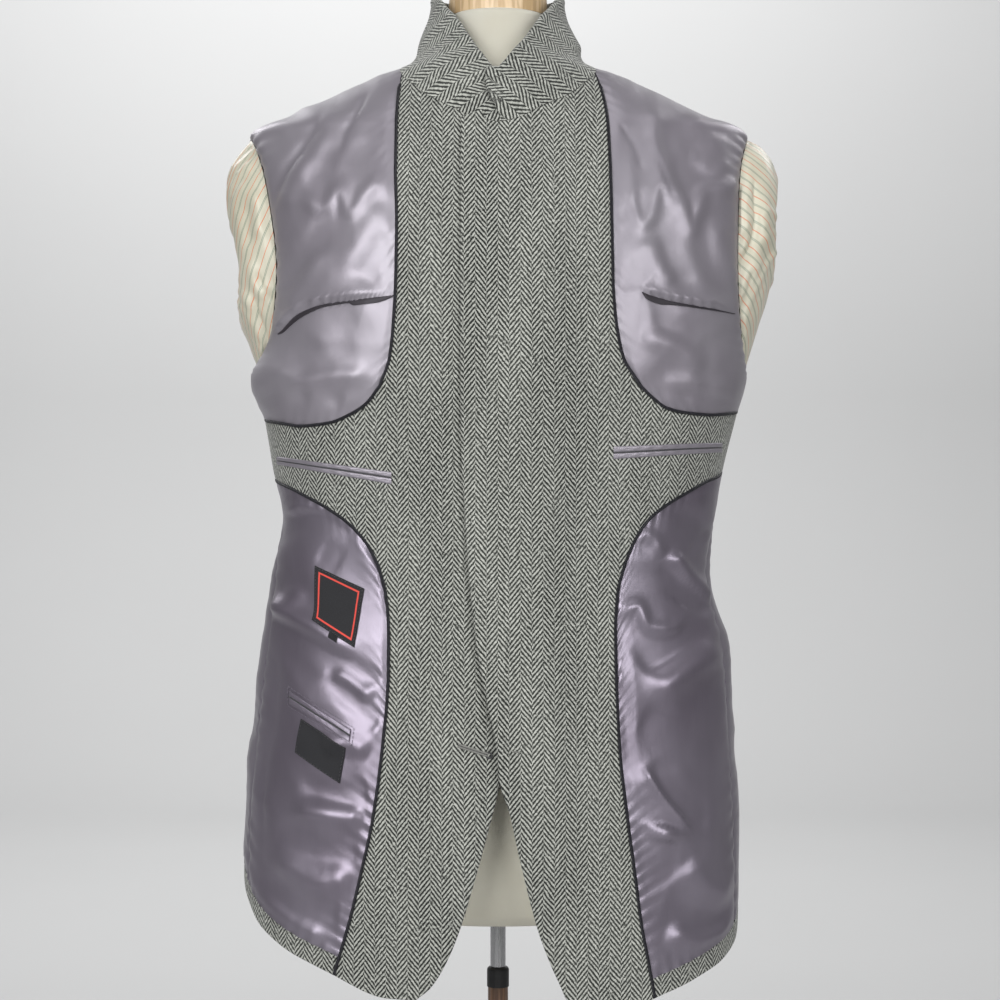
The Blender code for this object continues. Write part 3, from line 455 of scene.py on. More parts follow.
def station_at(side, x_out, height):
    reach = reach_at(side, x_out, height)
    return np.stack([reach, row_at(side, reach, height)], -1)


def side_distance(side, depth, height):
    """The body surface's distance from the centre plane, at this depth: + is behind the centre."""
    power = SECTION["power"](height)
    size = np.where(depth > 0, SECTION["back"](height), SECTION["front"](height))
    share = np.minimum(np.abs(depth) / size, 1.0)
    return SECTION[SIDE_NAME[side]](height) * (1 - share**power) ** (1 / power)


ARC_STEP = 0.01
ARC_HEIGHTS = np.arange(0.60, 1.561, ARC_STEP)
ARC_REACHES = np.arange(0.0, 181.0, 1.0)


def arc_table(side):
    reach, height = np.meshgrid(ARC_REACHES, ARC_HEIGHTS)
    steps = np.linalg.norm(np.diff(section_point(side, reach, height), axis=1), axis=-1)
    return np.concatenate([np.zeros((len(ARC_HEIGHTS), 1)), np.cumsum(steps, axis=1)], axis=1)


ARCS = {side: arc_table(side) for side in (-1, 1)}


def arc_at(side, reach, height):
    """The signed length round the body from the front centre: positive towards +X."""
    turned = (reach + 180.0) % 360.0 - 180.0
    towards = np.where(turned < 0, -side, side)
    place = np.abs(turned)
    row = np.clip((height - ARC_HEIGHTS[0]) / ARC_STEP, 0, len(ARC_HEIGHTS) - 1.001)
    j, i = row.astype(int), np.minimum(place.astype(int), len(ARC_REACHES) - 2)
    v, u = row - j, place - i
    both = []
    for table in (ARCS[-1], ARCS[1]):
        low = table[j, i] * (1 - u) + table[j, i + 1] * u
        high = table[j + 1, i] * (1 - u) + table[j + 1, i + 1] * u
        both.append(low * (1 - v) + high * v)
    return towards * np.where(towards < 0, both[0], both[1])


# ------------------------------------------------------------------ runs of stations

def line(first, last, steps):
    share = np.linspace(0, 1, steps + 1)[:, None]
    return np.array(first) * (1 - share) + np.array(last) * share


def joined(*runs):
    """Runs end to end, without the point that each shares with the one before."""
    return np.concatenate([runs[0], *[run[1:] for run in runs[1:]]])


def lower_run(side, steps):
    return edge_station(LOWER, side, np.linspace(LINING_HEM, LOWER_BEND, steps + 1))


def upper_run(side, steps, neck_steps):
    """The upper piping's stations, from the bend up to the last one before the neck point."""
    rows = np.linspace(UPPER_BEND, NECK_TOP, steps + 1)
    neck = through([(NECK_TOP,)] + [(row[2],) for row in NECKLINE], neck_steps)[:, 0]
    return joined(edge_station(UPPER, side, rows), edge_station(UPPER, side, neck))


def edge_run(side, rows, neck_steps):
    """The front edge up these rows, then the neckline."""
    corner = [(float(EDGE[SIDE_NAME[side]](NECK_TOP)), NECK_TOP)]
    neck = through(corner + [row[:2] for row in NECKLINE], neck_steps)
    neckline = np.stack([reach_at(side, neck[:, 0], neck[:, 1]), neck[:, 1]], -1)
    return joined(edge_station(EDGE, side, rows), neckline)


def band_run(side, top, steps):
    at = 0 if top else 2
    stations = [station_at(side, row[at], row[at + 1]) for row in BAND[side]]
    return through([*stations, (SIDE, BAND_SIDE[side][0 if top else 1])], steps)


def band_root(side, steps):
    low, high = BAND[side][0][2], BAND[side][0][0]
    rows = np.linspace(LOWER_BEND, UPPER_BEND, steps + 1)
    share = (rows - LOWER_BEND) / (UPPER_BEND - LOWER_BEND)
    return station_at(side, low + (high - low) * share, rows)


def skirt_seam_at(side, rows):
    """The side seam below the band: it runs from the side towards the front as it goes down."""
    share = smooth_step((BAND_SIDE[side][1] - rows) / SEAM_BEND)
    return np.stack([SIDE + (SKIRT_SEAM - SIDE) * share, rows], -1)


def skirt_seam_run(side, steps):
    return skirt_seam_at(side, np.linspace(LINING_HEM, BAND_SIDE[side][1], steps + 1))


def armhole_run(side, steps, behind):
    turn = np.linspace(0, pi, steps + 1)
    height = (ARMHOLE_TOP + ARMHOLE_BOTTOM) / 2 - (ARMHOLE_TOP - ARMHOLE_BOTTOM) / 2 * np.cos(turn)
    depth = (ARMHOLE_BACK if behind else -ARMHOLE_FRONT) * np.sin(turn)
    reach = np.degrees(np.arctan2(side_distance(side, depth, height), np.abs(depth)))
    return np.stack([180 - reach if behind else reach, height], -1)


def strip(inner, outer, shares):
    """Rows of stations from an inner run to an outer one, at these shares of the way."""
    shares = np.asarray(shares)[None, :, None]
    return inner[:, None, :] * (1 - shares) + outer[:, None, :] * shares


def four_sided(left, right, bottom, top):
    """Rows of stations between four runs of them: left and right run up, bottom and top across."""
    v = np.linspace(0, 1, len(left))[:, None, None]
    u = np.linspace(0, 1, len(bottom))[None, :, None]
    across = (1 - u) * left[:, None, :] + u * right[:, None, :]
    up = (1 - v) * bottom[None, :, :] + v * top[None, :, :]
    corners = (1 - u) * (1 - v) * left[0] + u * (1 - v) * right[0]
    corners = corners + (1 - u) * v * left[-1] + u * v * right[-1]
    return across + up - corners


# ------------------------------------------------------------------ grids of points

def lengths(points, axis):
    """Distances along the grid's rows (axis 1) or columns (axis 0), from its first point."""
    steps = np.linalg.norm(np.diff(points, axis=axis), axis=-1)
    start = np.zeros_like(np.take(steps, [0], axis=axis))
    return np.concatenate([start, np.cumsum(steps, axis=axis)], axis=axis)


def grid_on(side, stations):
    """A grid of the body surface, with its outward directions and its distances from its edges."""
    reach, row = stations[..., 0], stations[..., 1]
    point = surface_point(side, reach, row)
    across, up = lengths(point, 1), lengths(point, 0)
    arc = arc_at(side, reach, point[..., 2])
    return {
        "side": side,
        "point": point,
        "outward": outward_at(side, reach, row),
        "uv": np.stack([arc, point[..., 2]], -1),
        "from_first": across,
        "to_last": across[:, -1:] - across,
        "from_bottom": up,
        "to_top": up[-1:] - up,
        "along_first": np.repeat(up[:, :1], up.shape[1], axis=1),
        "along_last": np.repeat(up[:, -1:], up.shape[1], axis=1),
    }


def mesh_object(name, points, faces, uv, material, sharp=()):
    """A smooth mesh, with uv per point in metres and its sharp edges as pairs of points."""
    mesh = bpy.data.meshes.new(name)
    mesh.from_pydata(points, [], faces)
    mesh.validate()
    corners = np.empty(len(mesh.loops), np.int32)
    mesh.loops.foreach_get("vertex_index", corners)
    layer = mesh.uv_layers.new(name="cloth")
    layer.data.foreach_set("uv", np.asarray(uv, np.float32)[corners].ravel())
    mesh.shade_smooth()
    if len(sharp):
        ends = np.empty(len(mesh.edges) * 2, np.int32)
        mesh.edges.foreach_get("vertices", ends)
        ends = np.sort(ends.reshape(-1, 2), axis=1)
        wanted = np.sort(np.asarray(sharp), axis=1)
        count = len(points)
        marks = np.isin(ends[:, 0].astype(np.int64) * count + ends[:, 1],
                        wanted[:, 0].astype(np.int64) * count + wanted[:, 1])
        mesh.attributes.new("sharp_edge", "BOOLEAN", "EDGE").data.foreach_set("value", marks)
    mesh.materials.append(material)
    obj = bpy.data.objects.new(name, mesh)
    bpy.context.scene.collection.objects.link(obj)
    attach(obj, BODY)
    return obj


# Points this near to one another are one point.
WELD = 1e-4
WELD_SHIFT = 0.37


def wall(name, grids, material):
    """A closed wall of cloth from grids with inner and outer points, welded where they meet."""
    faces, count = [], 0
    for grid in grids:
        rows, columns = grid["outer"].shape[:2]
        index = count + np.arange(rows * columns).reshape(rows, columns)
        quads = np.stack([index[:-1, :-1], index[:-1, 1:], index[1:, 1:], index[1:, :-1]], -1)
        quads = quads.reshape(-1, 4)
        middle = quads[len(quads) // 2] - count
        corners = grid["outer"].reshape(-1, 3)[middle]
        facing = np.cross(corners[1] - corners[0], corners[3] - corners[0])
        if np.dot(facing, corners[0] - grid["inner"].reshape(-1, 3)[middle[0]]) < 0:
            quads = quads[:, ::-1]
        faces.append(quads)
        count += rows * columns
    faces = np.concatenate(faces)
    base, inner, outer, uv = (
        np.concatenate([grid[key].reshape(-1, grid[key].shape[-1]) for grid in grids])
        for key in ("point", "inner", "outer", "uv")
    )
    first, index = np.unique(
        np.floor(base / WELD + WELD_SHIFT).astype(np.int64), axis=0,
        return_index=True, return_inverse=True,
    )[1:]
    faces = index.reshape(-1)[faces]
    inner, outer, uv = inner[first], outer[first], uv[first]
    kept = [list(dict.fromkeys(face)) for face in faces.tolist()]
    kept = [face for face in kept if len(face) > 2]
    total = len(first)
    ends = np.array([(a, b) for face in kept for a, b in zip(face, face[1:] + face[:1])])
    forward = ends[:, 0].astype(np.int64) * total + ends[:, 1]
    backward = ends[:, 1].astype(np.int64) * total + ends[:, 0]
    rim = ends[~np.isin(forward, backward)]
    all_faces = [face[::-1] for face in kept] + [[i + total for i in face] for face in kept]
    all_faces += [[a, b, b + total, a + total] for a, b in rim.tolist()]
    sharp = np.concatenate([rim, rim + total]) if len(rim) else ()
    points = np.concatenate([inner, outer])
    return mesh_object(name, points, all_faces, np.concatenate([uv, uv]), material, sharp)

# ------------------------------------------------------------------ materials

class Paint:
    """A new material and the steps that paint it. Each value may be a socket or a constant."""

    def __init__(self, name, on_cloth=True):
        self.material = bpy.data.materials.new(name)
        self.material.use_nodes = True
        self.tree = self.material.node_tree
        self.shader = self.tree.nodes["Principled BSDF"]
        self.on_cloth = on_cloth
        if on_cloth:
            self.place = self.put("ShaderNodeUVMap", uv_map="cloth").outputs[0]
        else:
            self.place = self.put("ShaderNodeTexCoord").outputs["Object"]

    def give(self, socket, value):
        if isinstance(value, bpy.types.NodeSocket):
            self.tree.links.new(value, socket)
        else:
            socket.default_value = value

    def put(self, kind, inputs=None, **settings):
        node = self.tree.nodes.new(kind)
        for key, value in settings.items():
            setattr(node, key, value)
        for key, value in (inputs or {}).items():
            self.give(node.inputs[key], value)
        return node

    def threads(self):
        """The cloth's own coordinates in metres: across and along."""
        place = self.put("ShaderNodeUVMap", uv_map="cloth").outputs[0]
        parts = self.put("ShaderNodeSeparateXYZ", {0: place})
        return parts.outputs[0], parts.outputs[1]

    def do(self, operation, *values):
        return self.put("ShaderNodeMath", dict(enumerate(values)), operation=operation).outputs[0]

    def wave(self, value, pitch):
        return self.do("SINE", self.do("MULTIPLY", value, 2 * pi / pitch))

    def between(self, value, low, high, to_low=0.0, to_high=1.0):
        """The smooth change from to_low to to_high while the value runs from low to high."""
        return self.put("ShaderNodeMapRange", {
            "Value": value, "From Min": low, "From Max": high, "To Min": to_low, "To Max": to_high,
        }, interpolation_type="SMOOTHSTEP").outputs["Result"]

    def mixed(self, share, first, second):
        """A colour between the first and the second."""
        first, second = ((*part, 1.0) if isinstance(part, tuple) else part
                         for part in (first, second))
        node = self.put("ShaderNodeMix", {0: share, 6: first, 7: second}, data_type="RGBA")
        return node.outputs[2]

    def noise(self, scale, detail=2.0, roughness=0.5, squeeze=1.0):
        """Noise over the piece. A squeeze under 1 draws it out along the cloth, or along z."""
        factors = (1.0, squeeze, 1.0) if self.on_cloth else (1.0, 1.0, squeeze)
        place = self.put("ShaderNodeVectorMath", {0: self.place, 1: factors}, operation="MULTIPLY")
        return self.put("ShaderNodeTexNoise", {
            "Vector": place.outputs[0], "Scale": scale, "Detail": detail, "Roughness": roughness,
        }).outputs["Fac"]

    def finished(self, colour, roughness, relief=None, depth=0.0, **values):
        """Gives the shader its colour and roughness, bumps of this depth and these plain values."""
        self.give(self.shader.inputs["Base Color"], colour)
        self.give(self.shader.inputs["Roughness"], roughness)
        if relief:
            bump = self.put("ShaderNodeBump",
                            {"Height": relief, "Distance": depth, "Strength": 1.0})
            self.give(self.shader.inputs["Normal"], bump.outputs[0])
        for key, value in values.items():
            self.give(self.shader.inputs[key.replace("_", " ")], value)
        return self.material


COLUMN = 0.0095
TWILL_PITCH = 0.0046
TWILL_SLOPE = tan(radians(50.8))
TWILL_WANDER = 0.0016
TWEED_DARK = (0.015, 0.017, 0.015)
TWEED_DARK_SOFT = (0.040, 0.043, 0.038)
TWEED_GREY = (0.16, 0.165, 0.15)
TWEED_PALE = (0.33, 0.34, 0.305)
TWEED_LIGHT = (0.56, 0.57, 0.52)


def tweed_material():
    """Herringbone: twill lines that turn back at each column, in dark and light yarn with fuzz."""
    p = Paint("tweed")
    across, along = p.threads()
    wander = p.do("MULTIPLY", p.do("SUBTRACT", p.noise(60.0), 0.5), TWILL_WANDER)
    columns = p.do("DIVIDE", p.do("ADD", across, wander), COLUMN)
    rise = p.do("DIVIDE", p.do("ADD", along, wander), TWILL_PITCH)
    saw = p.do("PINGPONG", columns, 1.0)
    phase = p.do("MULTIPLY_ADD", saw, COLUMN * TWILL_SLOPE / TWILL_PITCH, rise)
    phase = p.do("MULTIPLY_ADD", p.do("FLOOR", columns), 0.5, phase)
    yarn = p.noise(900.0, 2.0, 0.6, 0.55)
    fuzz = p.noise(330.0, 3.0, 0.7)
    patch = p.noise(95.0, 2.0, 0.6, 0.7)
    broad = p.noise(26.0, 3.0, 0.5, 0.25)
    rough = p.do("MULTIPLY", p.wave(phase, 1.0), p.between(patch, 0.25, 0.70, 0.45, 1.15))
    rough = p.do("MULTIPLY_ADD", p.do("SUBTRACT", yarn, 0.5), 2.1, rough)
    rough = p.do("MULTIPLY_ADD", p.do("SUBTRACT", fuzz, 0.5), 2.3, rough)
    light = p.between(rough, -0.40, 0.46)
    dark = p.mixed(p.between(broad, 0.3, 0.7), TWEED_DARK, TWEED_DARK_SOFT)
    pale = p.mixed(p.between(fuzz, 0.3, 0.7), TWEED_PALE, TWEED_LIGHT)
    pale = p.mixed(p.between(broad, 0.35, 0.75, 0.22, 0.0), pale, TWEED_GREY)
    relief = p.do("MULTIPLY_ADD", yarn, 0.7, p.do("MULTIPLY", light, 0.45))
    relief = p.do("MULTIPLY_ADD", fuzz, 0.6, relief)
    rough = p.between(fuzz, 0.2, 0.8, 0.82, 0.97)
    return p.finished(p.mixed(light, dark, pale), rough, relief, 0.0007,
                      Specular_IOR_Level=0.2, Sheen_Weight=0.25, Sheen_Roughness=0.5)


def satin_material(name, shade, light, gloss, metal, tint=(0.31, 0.27, 0.33)):
    """A lavender-grey lining: soft broad gloss, slightly uneven colour and a very fine twill."""
    p = Paint(name)
    broad = p.noise(9.0, 3.0, 0.5, 0.6)
    streak = p.noise(900.0, 2.0, 0.5, 0.05)
    crumple = p.noise(38.0, 3.0, 0.5, 0.6)
    colour = p.mixed(p.between(broad, 0.3, 0.7), shade, light)
    colour = p.mixed(p.do("MULTIPLY", streak, 0.2), colour, tint)
    rough = p.do("MULTIPLY_ADD", streak, 0.04, p.between(broad, 0.2, 0.8, gloss, gloss + 0.05))
    relief = p.do("MULTIPLY", streak, 0.15)
    relief = p.do("MULTIPLY_ADD", p.wave(p.do("ADD", *p.threads()), 0.0007), 0.04, relief)
    relief = p.do("MULTIPLY_ADD", crumple, 1.6, relief)
    return p.finished(colour, rough, relief, 0.00022, Metallic=metal, Specular_IOR_Level=0.55,
                      Sheen_Weight=0.10, Sheen_Roughness=0.4)


STRIPE_PITCH = 0.0064


def striped_satin_material():
    """Cream sleeve lining with thin stripes: a single orange one, then a double grey-green one."""
    p = Paint("sleeve_satin")
    broad = p.noise(14.0, 3.0)
    streak = p.noise(800.0, 2.0, 0.5, 0.06)
    share = p.do("FRACT", p.do("DIVIDE", p.threads()[0], 2 * STRIPE_PITCH))

    def stripe(centre, half):
        off = p.do("ABSOLUTE", p.do("SUBTRACT", share, centre))
        return p.between(off, half * 0.6, half * 1.3, 1.0, 0.0)

    weave = p.do("MULTIPLY_ADD", streak, 0.5, 0.62)
    orange = p.do("MULTIPLY", stripe(0.25, 0.030), weave)
    green = p.do("MULTIPLY", p.do("MAXIMUM", stripe(0.71, 0.020), stripe(0.79, 0.020)), weave)
    colour = p.mixed(p.between(broad, 0.3, 0.7), (0.50, 0.475, 0.365), (0.61, 0.585, 0.47))
    colour = p.mixed(p.do("MULTIPLY", streak, 0.3), colour, (0.67, 0.65, 0.54))
    colour = p.mixed(orange, colour, (0.60, 0.14, 0.045))
    colour = p.mixed(green, colour, (0.13, 0.19, 0.14))
    relief = p.do("MULTIPLY_ADD", p.noise(60.0, 3.0), 1.5, streak)
    return p.finished(colour, p.between(broad, 0.2, 0.8, 0.34, 0.46), relief, 0.00020,
                      Specular_IOR_Level=0.5, Sheen_Weight=0.2, Sheen_Roughness=0.4)


def cord_material():
    """Glazed black piping: fine ribs from its bias-cut cover."""
    p = Paint("piping_cord")
    ribs = p.wave(p.do("ADD", *p.threads()), 0.0009)
    fleck = p.noise(600.0, 2.0)
    colour = p.mixed(p.between(fleck, 0.4, 0.8), (0.006, 0.006, 0.009), (0.030, 0.030, 0.040))
    return p.finished(colour, p.between(fleck, 0.3, 0.7, 0.38, 0.60),
                      p.do("MULTIPLY_ADD", ribs, 0.5, fleck), 0.0002, Specular_IOR_Level=0.45)


LABEL_RIB = 1 / 60


def label_material(name, framed):
    """Matt black woven tape, with or without a thin red frame line. The label's face is bare."""
    p = Paint(name)
    across, along = p.threads()
    fleck = p.noise(40.0, 3.0)
    colour = p.mixed(p.between(fleck, 0.3, 0.8), (0.010, 0.010, 0.012), (0.028, 0.028, 0.032))
    if framed:
        inset = [p.do("MINIMUM", part, p.do("SUBTRACT", 1.0, part)) for part in (across, along)]
        off = p.do("ABSOLUTE", p.do("SUBTRACT", p.do("MINIMUM", *inset), 0.095))
        colour = p.mixed(p.between(off, 0.012, 0.020, 1.0, 0.0), colour, (0.72, 0.075, 0.055))
    relief = p.do("MULTIPLY_ADD", p.wave(across, LABEL_RIB), 0.4, fleck)
    return p.finished(colour, p.between(fleck, 0.3, 0.7, 0.62, 0.85), relief, 0.00012,
                      Specular_IOR_Level=0.35, Sheen_Weight=0.1)


def jersey_material():
    """Tight cream jersey over the form: fine vertical ribs of stitches and faint handling marks."""
    p = Paint("form_jersey", on_cloth=False)
    across, along = p.threads()
    broad = p.noise(12.0, 4.0)
    colour = p.mixed(p.between(broad, 0.35, 0.75), (0.97, 0.925, 0.765), (1.0, 0.97, 0.83))
    relief = p.do("MULTIPLY", p.wave(across, 0.0011), p.wave(along, 0.0008))
    return p.finished(colour, p.between(broad, 0.3, 0.7, 0.7, 0.85), relief, 0.0002,
                      Specular_IOR_Level=0.25, Sheen_Weight=0.3)


def wood_material(name, dark, light, gloss):
    """Wood with rings that run up the piece and fine pores under a clear coat."""
    p = Paint(name, on_cloth=False)
    rings = p.do("SINE", p.do("MULTIPLY", p.noise(30.0, 4.0, 0.6, 0.12), 60.0))
    pores = p.noise(900.0, 2.0, 0.5, 0.05)
    return p.finished(p.mixed(p.between(rings, -1.0, 1.0), dark, light),
                      p.between(pores, 0.3, 0.7, gloss, gloss + 0.15), pores, 0.0002,
                      Coat_Weight=0.3, Coat_Roughness=0.25)


def grained_material(name, dark, light, scale, edges, rough, depth, detail=2.0, roughness=0.5,
                     squeeze=1.0, **values):
    """Two colours, a roughness and a relief that all follow one noise.

    The colours change between the edges, and the roughness over the noise's middle part.
    """
    p = Paint(name, on_cloth=False)
    grain = p.noise(scale, detail, roughness, squeeze)
    share = p.between(grain, *edges) if edges else grain
    return p.finished(p.mixed(share, dark, light), p.between(grain, 0.3, 0.7, *rough), grain, depth,
                      **values)


def thread_material(name, dark, light):
    return grained_material(name, dark, light, 1400.0, (0.3, 0.7), (0.45, 0.7), 0.0003,
                            Sheen_Weight=0.2)


def black_metal_material(name):
    """Black paint with scuffs, over a fine grain."""
    p = Paint(name, on_cloth=False)
    scuffs = p.noise(35.0, 5.0, 0.7)
    colour = p.mixed(p.between(scuffs, 0.5, 0.8), (0.012, 0.012, 0.013), (0.035, 0.035, 0.037))
    return p.finished(colour, p.between(scuffs, 0.3, 0.7, 0.36, 0.52), p.noise(500.0, 3.0), 0.0002)


def room_material(colour):
    p = Paint("room_paint", on_cloth=False)
    shaded = tuple(0.97 * part for part in colour)
    return p.finished(p.mixed(p.noise(1.5), colour, shaded), 0.9, Specular_IOR_Level=0.2)


TWEED = tweed_material()
# One satin in three copies: the chest's is lighter and the skirt's darker, painted light and shade
# for light that falls off downwards; the back's lies between.
SATIN_UPPER_LIT = satin_material(
    "lining_satin_upper", (0.255, 0.236, 0.268), (0.330, 0.313, 0.346), 0.38, 0.50)
SATIN_LOWER_SHADED = satin_material(
    "lining_satin_lower", (0.172, 0.150, 0.188), (0.262, 0.238, 0.286), 0.32, 0.70)
SATIN_BACK = satin_material(
    "lining_satin_back", (0.215, 0.196, 0.230), (0.295, 0.277, 0.315), 0.34, 0.60)
# A very dark satin, laid under the tucks' lips as painted shade.
TUCK_SHADE_SATIN = satin_material(
    "tuck_inside", (0.018, 0.015, 0.020), (0.045, 0.038, 0.048), 0.50, 0.3, (0.05, 0.04, 0.05))
STRIPED = striped_satin_material()
CORD = cord_material()
GREY_THREAD = thread_material("grey_thread", (0.12, 0.12, 0.11), (0.24, 0.24, 0.22))
# Dark thread for stitches and eyelet, also laid in the welts' and the buttonhole's slits as painted
# shade.
DARK_THREAD_AND_SHADE = thread_material("dark_thread", (0.01, 0.01, 0.012), (0.05, 0.05, 0.055))
LAVENDER_THREAD = thread_material("lavender_thread", (0.12, 0.10, 0.13), (0.22, 0.20, 0.25))

# ------------------------------------------------------------------ folds

def stroke_distance(x, z, points):
    """Distance to a smooth line through these points, the same with a sign, and the place along."""
    path = through(points, 6 * (len(points) - 1)) if len(points) > 2 else np.array(points, float)
    nearest, signed, along = np.full(x.shape, np.inf), np.zeros(x.shape), np.zeros(x.shape)
    total = len(path) - 1
    for i, (start, end) in enumerate(zip(path, path[1:])):
        run = end - start
        length = np.hypot(*run)
        share = np.clip(((x - start[0]) * run[0] + (z - start[1]) * run[1]) / length**2, 0, 1)
        off = np.hypot(x - start[0] - share * run[0], z - start[1] - share * run[1])
        closer = off < nearest
        nearest = np.where(closer, off, nearest)
        side = np.sign(run[0] * (z - start[1]) - run[1] * (x - start[0]))
        signed = np.where(closer, side * off, signed)
        along = np.where(closer, (i + share) / total, along)
    return nearest, signed, along


def stroke_lift(kind, width, height, points, x, z):
    """How far one stroke lifts the cloth. Its sizes and points are in millimetres.

    A ridge or trough is soft across, a crease is sharp, and in a tuck the cloth above the line
    rolls over the cloth below it.
    """
    path = [(px / 1000, pz / 1000) for px, pz in points]
    width, height = width / 1000, height / 1000
    if len(path) == 1:
        off = np.hypot(x - path[0][0], z - path[0][1])
        return height * np.exp(-((off / width) ** 2))
    off, signed, along = stroke_distance(x, z, path)
    ends = smooth_step(np.minimum(along, 1 - along) * 4 + 0.12)
    if kind == "crease":
        return height * ends * np.exp(-off / (0.55 * width))
    if kind == "tuck":
        over = np.exp(-np.maximum(signed, 0) / width) * smooth_step((signed + 0.0008) / 0.0012)
        under = -0.35 * np.exp(-np.maximum(-signed, 0) / (0.6 * width)) * (signed < -0.0012)
        return height * ends * (over + under) * np.exp(-np.maximum(off - 3 * width, 0) / width)
    return height * ends * np.exp(-((off / width) ** 2))


